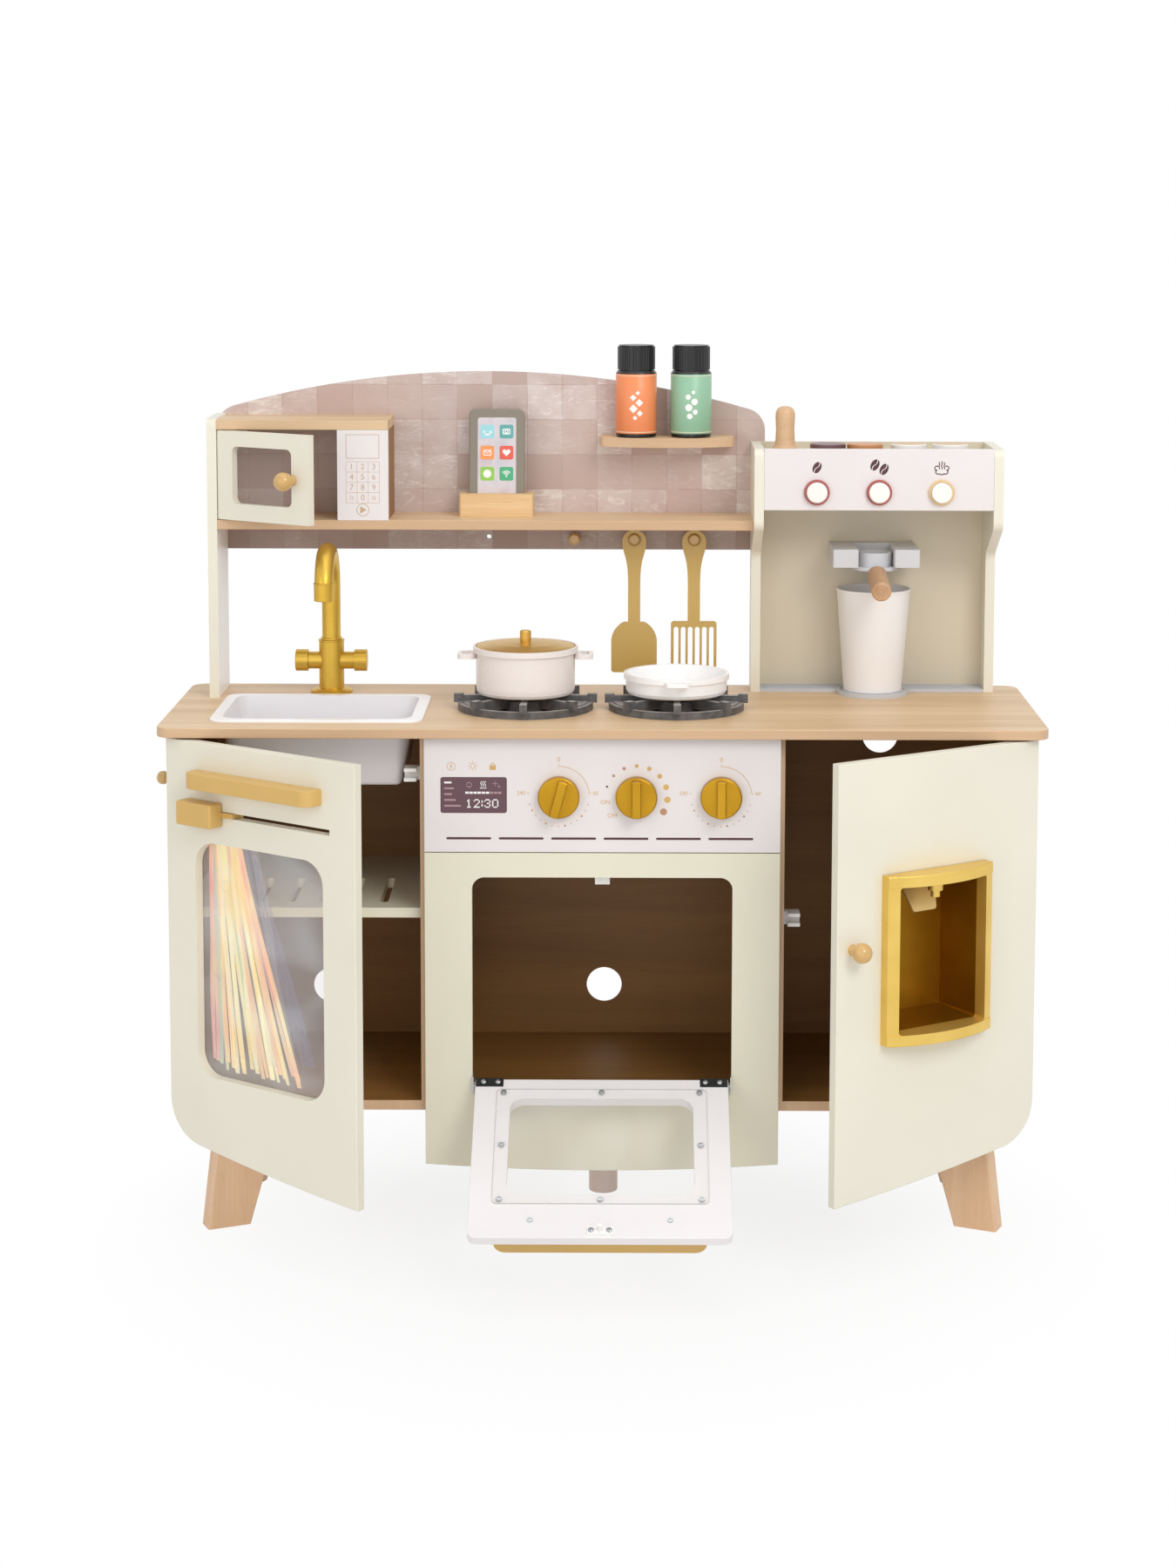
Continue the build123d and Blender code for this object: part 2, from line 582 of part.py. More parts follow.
# Left door: arched below, with a window and a slot for the slider; its hinge edge is mortised
def door_blank(face, side):
    """One side door's board in its own plane, mortised for the moving hinge leaves."""
    near = side * DOOR_EDGE
    far = side * (DOOR_EDGE + DOOR_WIDTH)
    span = sorted((near, far))
    middle_line = side * HINGE_X
    with BuildSketch(face.offset(GAP / 2)) as board:
        arched_panel(span[0] - middle_line, span[1] - middle_line, DOOR_TOP, shift=middle_line)
        hinge_foot = (near, front_edge_height(near - middle_line))
        fillet(board.vertices().sort_by_distance(hinge_foot)[0], DIP_CORNER)
    extrude(board.sketch, amount=BOARD)


def door_mortises(face, plan, side):
    """Cut the places of the moving leaves and the room round the knuckles."""
    for level in HINGE_LEVELS:
        low = level - HINGE_HEIGHT / 2
        leaf_x = sorted((side * DOOR_EDGE, side * 24))
        slab(face.offset(GAP / 2), leaf_x, (low, low + HINGE_HEIGHT), LEAF, Mode.SUBTRACT)
        rod(plan.offset(low - 0.5), KNUCKLE_CUT, HINGE_HEIGHT + 1, Mode.SUBTRACT)


def moving_leaves(face, plan, side):
    """The leaf and middle knuckle of each hinge of a side door."""
    for level in HINGE_LEVELS:
        low = level - HINGE_HEIGHT / 2
        leaf_x = sorted((0, side * 24))
        slab(face.offset(GAP / 2), leaf_x, (low, low + HINGE_HEIGHT), LEAF)
        for end in (low - 0.5, level + 5):
            rod(plan.offset(end), KNUCKLE_CUT, 10.5, Mode.SUBTRACT)
        rod(plan.offset(level - 5), KNUCKLE, 10)
        rod(plan.offset(low - 0.5), PIN_BORE, HINGE_HEIGHT + 1, Mode.SUBTRACT)


left_plan = hinged_plan(-HINGE_X, HINGE_Y, -LEFT_OPEN, 0)
right_plan = hinged_plan(HINGE_X, HINGE_Y, RIGHT_OPEN, 0)
DOOR_OUT = GAP / 2 + BOARD
DOOR_IN = GAP / 2
WINDOW_U = (47, 251)
WINDOW_Z = (223, 511)
SLIDER_SLOT_U = (50, 262)
SLIDER_LEVEL = 548

with BuildPart() as left_door:
    door_blank(left_face, 1)
    ease([left_door.faces().sort_by(Axis((0, 0, 0), left_face.z_dir))[-1]], 1)
    slab(left_face.offset(-1), WINDOW_U, WINDOW_Z, BOARD + 3, Mode.SUBTRACT, radius=30)
    slot_z = (SLIDER_LEVEL - 3.5, SLIDER_LEVEL + 3.5)
    slab(left_face.offset(-1), SLIDER_SLOT_U, slot_z, BOARD + 3, Mode.SUBTRACT)
    door_mortises(left_face, left_plan, 1)
pieces["left_door"] = left_door

WINDOW_SHEET = 1.5
with BuildPart() as left_door_window:
    sheet_u = (WINDOW_U[0] - 8, WINDOW_U[1] + 8)
    sheet_z = (WINDOW_Z[0] - 8, WINDOW_Z[1] + 8)
    slab(left_face.offset(DOOR_IN), sheet_u, sheet_z, -WINDOW_SHEET, radius=12)
pieces["left_door_window"] = left_door_window


def pull_bar(plan, x, y, depth):
    """A solid bar handle with rounded front corners, drawn from above and pulled up."""
    with BuildSketch(plan) as bar:
        with Locations(((x[0] + x[1]) / 2, (y[0] + y[1]) / 2)):
            Rectangle(x[1] - x[0], y[1] - y[0])
        fillet(bar.vertices().group_by(Axis.Y)[0], 14)
    extrude(bar.sketch, amount=depth)


HANDLE_DEEP = 25
with BuildPart() as left_door_handle:
    pull_bar(left_plan.offset(579), (50, 250), (-DOOR_OUT - HANDLE_DEEP, -DOOR_OUT), 19)
    ease(
        [
            left_door_handle.faces().sort_by(Axis.Z)[-1],
            left_door_handle.faces().sort_by(Axis.Z)[0],
        ],
        1,
    )
pieces["left_door_handle"] = left_door_handle


def strike(face, side, level, far):
    """A strike on the inner face near the free edge, with the peg that the catch holds."""
    plate = sorted((side * (far - 22), side * far))
    slab(face.offset(DOOR_IN), plate, (level - 7, level + 7), -2)
    rod(face.offset(DOOR_IN - 2), 2.5, -10, at=(side * (far - 9), level))


with BuildPart() as left_door_hardware:
    moving_leaves(left_face, left_plan, 1)
    strike(left_face, 1, 582, 294)
pieces["left_door_hardware"] = left_door_hardware

# Slider of the left door: a block in front, a neck in the slot and a carrier behind for the film
SLIDER_U = (37, 93)
with BuildPart() as slider_handle:
    block_z = (SLIDER_LEVEL - 14.5, SLIDER_LEVEL + 14.5)
    slab(left_face.offset(DOOR_OUT + GAP), SLIDER_U, block_z, 22)
    fillet(slider_handle.edges(), 2.5)
    neck_z = (SLIDER_LEVEL - 3, SLIDER_LEVEL + 3)
    slab(left_face.offset(DOOR_OUT + 3), (62, 112), neck_z, -BOARD - 6)
    slab(left_face.offset(DOOR_IN - 1), (60, 112), (SLIDER_LEVEL - 8, SLIDER_LEVEL + 8), -2.5)
pieces["slider_handle"] = slider_handle

# Film strips that stand for running water: they hang from the carrier and fan out
STRIPS = 12
STRIP_WIDTH = 7
STRIP_LAYER = 0.5
with BuildPart() as film_strips:
    for index in range(STRIPS):
        share = index / (STRIPS - 1)
        top = 66 + 42 * share
        foot = 62 + 150 * share
        low = 236 + 26 * share * (1 - share) + 14 * (index % 3)
        with BuildSketch(left_face.offset(DOOR_IN - 3.5 - index * STRIP_LAYER)) as strip:
            with BuildLine():
                Polyline(
                    (top - STRIP_WIDTH / 2, SLIDER_LEVEL - 4),
                    (foot - STRIP_WIDTH / 2, low),
                    (foot + STRIP_WIDTH / 2, low),
                    (top + STRIP_WIDTH / 2, SLIDER_LEVEL - 4),
                    close=True,
                )
            make_face()
        extrude(strip.sketch, amount=-STRIP_LAYER)
pieces["film_strips"] = film_strips

# Right door with the drink dispenser let into it
DISPENSER_U = (80, 236)
DISPENSER_Z = (291, 494.5)
DISPENSER_MID = (-sum(DISPENSER_U) / 2, sum(DISPENSER_Z) / 2)
TUB = (140, 188)
with BuildPart() as right_door:
    door_blank(right_face, -1)
    ease([right_door.faces().sort_by(Axis((0, 0, 0), right_face.z_dir))[-1]], 1)
    with BuildSketch(right_face.offset(-1)) as hatch:
        with Locations(DISPENSER_MID):
            RectangleRounded(*TUB, 6)
    extrude(hatch.sketch, amount=BOARD + 3, mode=Mode.SUBTRACT)
    door_mortises(right_face, right_plan, -1)
pieces["right_door"] = right_door


def bowed_bar(ends, middle, bottom, top):
    """Part of the dispenser's front, drawn from above: deeper in the middle than at its ends."""
    left = -DISPENSER_U[1]
    right = -DISPENSER_U[0]
    with BuildSketch(right_plan.offset(bottom)) as outline:
        with BuildLine() as edge:
            Polyline((left, -DOOR_OUT - ends), (left, -DOOR_OUT), (right, -DOOR_OUT), (right, -DOOR_OUT - ends))
            ThreePointArc(
                (right, -DOOR_OUT - ends),
                (DISPENSER_MID[0], -DOOR_OUT - middle),
                (left, -DOOR_OUT - ends),
            )
        make_face(edge.edges())
    extrude(outline.sketch, amount=top - bottom)


FRAME_BAR = 13.5
FRAME_ENDS = 13
FRAME_MIDDLE = 31
FRAME_STEP = 1
TUB_WALL = 2.5
TUB_DEPTH = 66
TUB_TAPER = 5
NOZZLE_OUT = 14
with BuildPart() as dispenser_housing:
    bowed_bar(FRAME_ENDS - FRAME_STEP, FRAME_MIDDLE - FRAME_STEP, *DISPENSER_Z)
    bowed_bar(FRAME_ENDS, FRAME_MIDDLE, DISPENSER_Z[0], DISPENSER_Z[0] + FRAME_BAR)
    bowed_bar(FRAME_ENDS, FRAME_MIDDLE, DISPENSER_Z[1] - FRAME_BAR, DISPENSER_Z[1])
    level_edges = dispenser_housing.faces().sort_by(Axis.Z)
    ease([level_edges[-1], level_edges[0]], 1.5)
    with BuildSketch(right_face.offset(DOOR_OUT)) as tub:
        with Locations(DISPENSER_MID):
            RectangleRounded(TUB[0] - 0.6, TUB[1] - 0.6, 6)
    extrude(tub.sketch, amount=-TUB_DEPTH, taper=TUB_TAPER)
    mouth = (DISPENSER_U[1] - DISPENSER_U[0] - 2 * FRAME_BAR, DISPENSER_Z[1] - DISPENSER_Z[0] - 2 * FRAME_BAR)
    with BuildSketch(right_face.offset(DOOR_OUT)) as tub_hollow:
        with Locations(DISPENSER_MID):
            RectangleRounded(*mouth, 4)
    extrude(tub_hollow.sketch, amount=TUB_WALL - TUB_DEPTH, taper=TUB_TAPER - 2, mode=Mode.SUBTRACT)
    extrude(tub_hollow.sketch, amount=FRAME_MIDDLE + 1, mode=Mode.SUBTRACT)
    nozzle = right_plan.offset(DISPENSER_Z[1] - FRAME_BAR + 1)
    nozzle_at = (DISPENSER_MID[0], -NOZZLE_OUT)
    rod(nozzle, 9, -14, at=nozzle_at)
    rod(nozzle.offset(-14), 5.5, -8, at=nozzle_at)
pieces["dispenser_housing"] = dispenser_housing

# Dispenser paddle: a plate that hangs behind the nozzle from a level pin, its foot leaning forward
PADDLE_LEVEL = 473
PADDLE_BACK = 22
PADDLE_LEAN = 25
PADDLE_LONG = 38
with BuildPart() as dispenser_lever:
    lean = math.radians(PADDLE_LEAN)
    pivot = right_face.from_local_coords(Vector(DISPENSER_MID[0], PADDLE_LEVEL, -PADDLE_BACK))
    outward = right_face.z_dir
    paddle_face = Plane(
        origin=pivot,
        x_dir=right_face.x_dir,
        z_dir=outward * math.cos(lean) + Vector(0, 0, math.sin(lean)),
    )
    with BuildSketch(paddle_face.offset(-1.5)) as paddle:
        with BuildLine():
            Polyline((-26, 0), (26, 0), (17, -PADDLE_LONG), (-17, -PADDLE_LONG), close=True)
        make_face()
        fillet(paddle.vertices().group_by(Axis.Y)[0], 4)
    extrude(paddle.sketch, amount=3)
    pin_side = Plane(origin=pivot - right_face.x_dir * 28, x_dir=(0, 0, 1), z_dir=right_face.x_dir)
    rod(pin_side, 3, 56)
pieces["dispenser_lever"] = dispenser_lever


def ball_knob(face, place):
    """A turned wooden knob: a foot, a waist and a ball."""
    ball = 12
    centre = 18
    neck = 5.5
    start = centre - math.sqrt(ball**2 - neck**2)
    origin = face.from_local_coords(Vector(*place))
    stand = Plane(origin=origin, x_dir=face.x_dir, z_dir=-face.y_dir)
    with BuildSketch(stand) as profile:
        with BuildLine() as edge:
            Polyline((0, centre + ball), (0, 0), (7, 0), (6.5, 3), (neck, 5), (neck, start))
            ThreePointArc((neck, start), (ball, centre), (0, centre + ball))
        make_face(edge.edges())
    revolve(profile.sketch, axis=Axis(origin, face.z_dir))


with BuildPart() as right_door_knob:
    ball_knob(right_face, (-278, 411, DOOR_OUT))
pieces["right_door_knob"] = right_door_knob

with BuildPart() as right_door_hardware:
    moving_leaves(right_face, right_plan, -1)
    strike(right_face, -1, 404, 294)
pieces["right_door_hardware"] = right_door_hardware

# Oven door: white board with a window cut-out, a clear pane inside and a bar handle outside
PANE_HALF = 126.5
PANE_SPAN = (20, 198)
CUTOUT_SPAN = (34, 184)
OVEN_HANDLE_SPAN = (212, 236)
SCREW_SHANK = 1.5
SCREW_HEAD = 3.3
PANE_SCREWS = tuple((x, y) for y in (26, 192) for x in (-118, 0, 118)) + ((-118, 109), (118, 109))
HANDLE_SCREWS = ((-81, 222), (81, 222))


def screw_holes(places, depth):
    """Holes for screw shanks from the oven door's inner side."""
    with BuildSketch(oven_face.offset(OVEN_DOOR_IN - WINDOW_SHEET)) as holes:
        with Locations(places):
            Circle(SCREW_SHANK)
    extrude(holes.sketch, amount=WINDOW_SHEET + depth, mode=Mode.SUBTRACT)


def screw(place, seat, depth):
    """One pan-head screw: its head stands on the plane seat, its shank goes towards the front."""
    rod(seat, SCREW_HEAD, -1.8, at=place)
    rod(seat, SCREW_SHANK, depth, at=place)


with BuildPart() as oven_door:
    with BuildSketch(oven_face.offset(OVEN_DOOR_IN)) as oven_board:
        with Locations((0, (OVEN_DOOR_LOW + OVEN_DOOR_HIGH) / 2)):
            Rectangle(2 * OVEN_DOOR_HALF, OVEN_DOOR_HIGH - OVEN_DOOR_LOW)
        fillet(oven_board.vertices().group_by(Axis.Y)[-1], 10)
    extrude(oven_board.sketch, amount=BOARD)
    along = Axis((0, 0, 0), oven_face.z_dir)
    ease([oven_door.faces().sort_by(along)[-1], oven_door.faces().sort_by(along)[0]], 0.8)
    slab(oven_face.offset(1), (-110, 110), CUTOUT_SPAN, -BOARD - 6, Mode.SUBTRACT, radius=18)
    screw_holes(PANE_SCREWS, 8)
    screw_holes(HANDLE_SCREWS, BOARD)
pieces["oven_door"] = oven_door

with BuildPart() as oven_window:
    slab(oven_face.offset(OVEN_DOOR_IN), (-PANE_HALF, PANE_HALF), PANE_SPAN, -WINDOW_SHEET, radius=6)
    screw_holes(PANE_SCREWS, 1)
pieces["oven_window"] = oven_window

with BuildPart() as oven_door_handle:
    low_end = oven_face.from_local_coords(Vector(0, OVEN_HANDLE_SPAN[0], 0))
    bar_plan = Plane(origin=low_end, x_dir=(1, 0, 0), z_dir=oven_face.y_dir)
    pull_bar(bar_plan, (-123.5, 123.5), (-OVEN_DOOR_OUT - 2 * BOARD - 4.6, -OVEN_DOOR_OUT), 24)
    up = Axis((0, 0, 0), oven_face.y_dir)
    ease([oven_door_handle.faces().sort_by(up)[-1], oven_door_handle.faces().sort_by(up)[0]], 1)
    screw_holes(HANDLE_SCREWS, BOARD + 10)
pieces["oven_door_handle"] = oven_door_handle

# Oven door hardware: an angled leaf with a knuckle at each lower corner, the strike and the screws
OVEN_LEAF = (119, 152.5)
with BuildPart() as oven_door_hardware:
    for side in (-1, 1):
        leaf_x = sorted((side * OVEN_LEAF[0], side * OVEN_LEAF[1]))
        slab(oven_face.offset(OVEN_DOOR_IN), leaf_x, (OVEN_DOOR_LOW - LEAF, 15), -LEAF)
        slab(oven_face.offset(OVEN_DOOR_IN - LEAF), leaf_x, (OVEN_DOOR_LOW - LEAF, OVEN_DOOR_LOW), BOARD + 2)
        slab(oven_face.offset(-1.8), leaf_x, (0, OVEN_DOOR_LOW), 1.2)
        rod(Plane.YZ.offset(leaf_x[0]), KNUCKLE, OVEN_LEAF[1] - OVEN_LEAF[0], at=(OVEN_PIN_Y, OVEN_SILL))
        hole = Plane.YZ.offset(leaf_x[0] - 1)
        rod(hole, PIN_BORE, OVEN_LEAF[1] - OVEN_LEAF[0] + 2, Mode.SUBTRACT, at=(OVEN_PIN_Y, OVEN_SILL))
    slab(oven_face.offset(OVEN_DOOR_IN), (-15, 15), (232, 244), -2)
    rod(oven_face.offset(OVEN_DOOR_IN - 2), 2.5, -9, at=(0, 238))
    for place in PANE_SCREWS:
        screw(place, oven_face.offset(OVEN_DOOR_IN - WINDOW_SHEET), WINDOW_SHEET + 8)
    for place in HANDLE_SCREWS:
        screw(place, oven_face.offset(OVEN_DOOR_IN), BOARD + 10)
pieces["oven_door_hardware"] = oven_door_hardware

# Fixed hardware: hinge leaves and pins, catches for the three doors, the microwave's two pins
with BuildPart() as frame_hardware:
    for side in (-1, 1):
        for level in HINGE_LEVELS:
            low = level - HINGE_HEIGHT / 2
            pivot = Plane(origin=(side * HINGE_X, HINGE_Y, 0))
            leaf_x = sorted((side * HINGE_X, side * (CABINET_WIDTH / 2 - BOARD)))
            block(leaf_x, (CARCASS, CARCASS + LEAF), (low, low + HINGE_HEIGHT))
            rod(pivot.offset(level - 5.4), KNUCKLE_CUT, 10.8, Mode.SUBTRACT)
            rod(pivot.offset(low), KNUCKLE, 9.6)
            rod(pivot.offset(level + 5.4), KNUCKLE, 9.6)
            rod(pivot.offset(low), PIN, HINGE_HEIGHT)
        catch_x = sorted((side * DIVIDER_OUTER, side * (DIVIDER_OUTER + 20)))
        catch_level = 582 if side < 0 else 404
        block(catch_x, (CARCASS + 21, CARCASS + 33), (catch_level - 8, catch_level + 8))
        jaw_x = sorted((side * (DIVIDER_OUTER + 5), side * (DIVIDER_OUTER + 20)))
        for jaw in (catch_level - 8, catch_level + 4):
            block(jaw_x, (CARCASS + 9, CARCASS + 21), (jaw, jaw + 4))
        ear_x = sorted((side * (OVEN_HALF - 1.5), side * OVEN_HALF))
        block(ear_x, (OVEN_PIN_Y - 3, FACE + 10), (OVEN_SILL, OVEN_SILL + 12))
        block(ear_x, (OVEN_PIN_Y - 3, FACE), (OVEN_SILL - 10, OVEN_SILL))
        pin_x = sorted((side * (OVEN_LEAF[0] + 4), side * OVEN_HALF))
        rod(Plane.YZ.offset(pin_x[0]), PIN, pin_x[1] - pin_x[0], at=(OVEN_PIN_Y, OVEN_SILL))
    block((-9, 9), (CARCASS + 4, CARCASS + 14), (OVEN_HEAD - 12, OVEN_HEAD + 4))
    block((-9, 9), (CARCASS, CARCASS + 14), (OVEN_HEAD + 4, OVEN_HEAD + 8))
    for low in (SHELF_TOP, MICROWAVE_TOP - 7):
        rod(Plane(origin=(*MICROWAVE_PIN, low)), 1.5, 7)
pieces["frame_hardware"] = frame_hardware

# Microwave door: its hinge edge is fully rounded about the pins
MICROWAVE_DOOR = 150
MICROWAVE_THICK = 10
microwave_face = hinged_face(*MICROWAVE_PIN, -MICROWAVE_OPEN)
microwave_plan = hinged_plan(*MICROWAVE_PIN, -MICROWAVE_OPEN, SHELF_TOP + 1)
MICROWAVE_DOOR_HEIGHT = MICROWAVE_TOP - SHELF_TOP - 2
with BuildPart() as microwave_door:
    half = MICROWAVE_THICK / 2
    with BuildSketch(microwave_plan) as edge_on:
        with Locations((MICROWAVE_DOOR / 2 - half, 0)):
            Rectangle(MICROWAVE_DOOR, MICROWAVE_THICK)
        fillet(edge_on.vertices().group_by(Axis.X)[0], half - 0.1)
    extrude(edge_on.sketch, amount=MICROWAVE_DOOR_HEIGHT)
    slab(microwave_face.offset(-half - 1), (22, 117.5), (894, 966), MICROWAVE_THICK + 2, Mode.SUBTRACT, radius=8)
    for low in (SHELF_TOP + 0.5, MICROWAVE_TOP - 7.5):
        rod(Plane(origin=(*MICROWAVE_PIN, low)), 1.58, 7, Mode.SUBTRACT)
    ball_knob(microwave_face, (119, 928, half))
pieces["microwave_door"] = microwave_door

with BuildPart() as microwave_window:
    slab(microwave_face.offset(-half), (16, 123.5), (888, 972), -1.2, radius=5)
pieces["microwave_window"] = microwave_window

# Three oven knobs: a round base and a grip bar, on a shaft in the panel's bore with a disc behind
KNOB_RADIUS = 25
KNOB_TURNS = (15, 0, 0)
for place, turn, name in zip(KNOB_PLACES, KNOB_TURNS, ("left", "middle", "right")):
    with BuildPart() as knob:
        knob_face = Plane.XZ.offset(-FACE + GAP)
        rod(knob_face, KNOB_RADIUS, 12, at=(place, KNOB_LEVEL))
        fillet(knob.faces().sort_by(Axis.Y)[0].edges(), 2)
        with BuildSketch(knob_face.offset(11)) as grip_bar:
            with Locations(Location((place, KNOB_LEVEL, 0), -turn)):
                Rectangle(11, 2 * KNOB_RADIUS - 2)
            with Locations((place, KNOB_LEVEL)):
                Circle(KNOB_RADIUS - 2.4, mode=Mode.INTERSECT)
        extrude(grip_bar.sketch, amount=13)
        fillet(knob.faces().sort_by(Axis.Y)[0].edges(), 1.2)
        rod(knob_face, KNOB_SHAFT, -BOARD - 3, at=(place, KNOB_LEVEL))
        rod(Plane.XZ.offset(-CARCASS - GAP), KNOB_SHAFT + 4, -2, at=(place, KNOB_LEVEL))
    pieces["oven_knob_" + name] = knob

# Pot, lid and pan on the hob; their ears are solids of their own against the walls
POT_LOW = GRATE_TOP + GAP
POT_TOP = 724
POT_WALL = 61.5
with BuildPart() as pot:
    pot_at = (BURNERS[0], BURNER_Y, POT_LOW)
    height = POT_TOP - POT_LOW
    turned(
        pot_at,
        (
            (0, 0), (55, 0), (59, 1.5), (61, 5), (POT_WALL, 10), (POT_WALL, height - 8), (65.2, height - 7),
            (65.2, height), (62.4, height), (62.4, height - 5), (59, height - 6), (59, 6), (55, 3), (0, 3),
        ),
    )
    for side in (-1, 1):
        with BuildSketch(Plane.XY.offset(709)) as ear:
            with Locations((BURNERS[0] + side * 72.5, BURNER_Y)):
                RectangleRounded(23, 36, 8)
            with Locations((BURNERS[0] + side * 74, BURNER_Y)):
                RectangleRounded(10, 22, 4, mode=Mode.SUBTRACT)
            with Locations((BURNERS[0], BURNER_Y)):
                Circle(POT_WALL + SEAM, mode=Mode.SUBTRACT)
        extrude(ear.sketch, amount=6)
pieces["pot"] = pot

with BuildPart() as pot_lid:
    turned(
        (BURNERS[0], BURNER_Y, POT_TOP - 5),
        (
            (0, 8), (20, 7.6), (40, 6), (55, 3.2), (61.9, 0.6), (61.9, 3), (60.5, 4.6), (55, 6), (40, 8.6),
            (20, 10.4), (6.5, 10.9), (6.5, 12), (7, 13), (7, 22.5), (5.8, 24), (2.4, 24), (2, 21.5), (0, 21.5),
        ),
    )
pieces["pot_lid"] = pot_lid

PAN_WALL = 63
PAN_RIM = 65.5
with BuildPart() as pan:
    height = 691 - POT_LOW
    turned(
        (BURNERS[1], BURNER_Y, POT_LOW),
        (
            (0, 0), (56, 0), (60.5, 2), (62.6, 6), (PAN_WALL, height - 8), (PAN_RIM, height - 7),
            (PAN_RIM, height), (61.5, height), (60.3, 7), (56, 3), (0, 3),
        ),
    )
    for side in (-1, 1):
        with BuildSketch(Plane.XY.offset(684)) as ear:
            with Locations((BURNERS[1], BURNER_Y + side * 70)):
                RectangleRounded(30, 20, 7)
            with Locations((BURNERS[1], BURNER_Y + side * 72)):
                RectangleRounded(18, 8, 3.5, mode=Mode.SUBTRACT)
            with Locations((BURNERS[1], BURNER_Y)):
                Circle(PAN_RIM + SEAM, mode=Mode.SUBTRACT)
        extrude(ear.sketch, amount=5)
pieces["pan"] = pan

# Cup on the coaster
with BuildPart() as cup:
    turned(
        (COFFEE_MID, CUP_Y, COUNTER_TOP + 5 + GAP),
        (
            (0, 2), (33, 2), (33, 0), (36.5, 0), (37, 1), (46.8, 129), (48, 129), (48, 131), (45.4, 131),
            (35.4, 4), (0, 4),
        ),
    )
pieces["cup"] = cup

# Tamper and four capsules in the tray on top of the coffee corner
TRAY_Y = COFFEE_FRONT + BOARD + 30
with BuildPart() as tamper:
    turned(
        (228, TRAY_Y, COFFEE_TRAY_TOP + GAP),
        (
            (0, 0), (24, 0), (25, 1), (25, 9), (24, 11), (18, 19), (13.5, 25), (12.2, 31), (11.6, 45),
            (12.4, 60), (12, 66), (10, 70.5), (6, 73), (0, 74),
        ),
    )
pieces["tamper"] = tamper

POD_PLACES = (282, 329, 384, 437)
with BuildPart() as coffee_pods:
    for place in POD_PLACES:
        turned(
            (place, TRAY_Y, COFFEE_TRAY_TOP + GAP),
            ((0, 0), (20, 0), (22.5, 18), (22.5, 25.5), (21.6, 26.6), (0, 26.6)),
        )
pieces["coffee_pods"] = coffee_pods

# Spatula and slotted turner, each hung by a hole on its peg
TOOL_Y = WALL - 22
TOOL_THICK = 3
TOOL_HOLE = 8.2


def tool_handle(x):
    """The tapering handle with a round end about the peg, down to the neck."""
    with BuildLine() as edge:
        ThreePointArc((x - 15.4, PEG_LEVEL - 3), (x, PEG_LEVEL + 12.4), (x + 15.4, PEG_LEVEL - 3))
        Spline(
            (x + 15.4, PEG_LEVEL - 3),
            (x + 11, PEG_LEVEL - 25),
            (x + 7.9, PEG_LEVEL - 60),
            tangents=((0, -1), (0, -1)),
        )
        Polyline((x + 7.9, PEG_LEVEL - 60), (x + 7.9, 725), (x - 7.9, 725), (x - 7.9, PEG_LEVEL - 60))
        Spline(
            (x - 7.9, PEG_LEVEL - 60),
            (x - 11, PEG_LEVEL - 25),
            (x - 15.4, PEG_LEVEL - 3),
            tangents=((0, 1), (0, 1)),
        )
    make_face(edge.edges())
    with Locations((x, PEG_LEVEL - 0.3)):
        Circle(TOOL_HOLE, mode=Mode.SUBTRACT)


with BuildPart() as spatula:
    x = TOOL_PEGS[1]
    with BuildSketch(Plane.XZ.offset(-TOOL_Y)) as flat:
        tool_handle(x)
        with BuildLine() as blade:
            Polyline((x - 29.5, 708), (x - 29.5, 667), (x + 29.5, 667), (x + 29.5, 708))
            ThreePointArc((x + 29.5, 708), (x + 24.5, 723), (x + 13, 733))
            Line((x + 13, 733), (x - 13, 733))
            ThreePointArc((x - 13, 733), (x - 24.5, 723), (x - 29.5, 708))
        make_face(blade.edges())
        fillet(flat.vertices().group_by(Axis.Y)[0], 4)
    extrude(flat.sketch, amount=TOOL_THICK)
pieces["spatula"] = spatula

with BuildPart() as turner:
    x = TOOL_PEGS[2]
    with BuildSketch(Plane.XZ.offset(-TOOL_Y)) as flat:
        tool_handle(x)
        with Locations((x, 700)):
            RectangleRounded(59, 68, 4)
        for index in range(6):
            with Locations((x + (index - 2.5) * 9.1, 699)):
                SlotOverall(55, 6, rotation=90, mode=Mode.SUBTRACT)
    extrude(flat.sketch, amount=TOOL_THICK)
pieces["turner"] = turner

# Salt and pepper shakers on the spice shelf: a bottle and a ribbed cap each
for place, name in ((40, "salt_shaker"), (110, "pepper_shaker")):
    stand = (place, WALL - 29, SPICE_TOP + GAP)
    with BuildPart() as shaker:
        turned(
            stand,
            (
                (0, 0), (24, 0), (25.6, 1.5), (25.6, 3.5), (26, 4.5), (26, 81), (25.6, 82),
                (23.5, 84.5), (22.5, 85), (22.5, 86), (0, 86),
            ),
        )
        with BuildSketch(Plane(origin=stand).offset(86)) as ribbed:
            Circle(24)
            with PolarLocations(24.5, 36):
                Circle(1.2, mode=Mode.SUBTRACT)
        extrude(ribbed.sketch, amount=29)
        rod(Plane(origin=stand).offset(115), 22.2, 2)
    pieces[name] = shaker

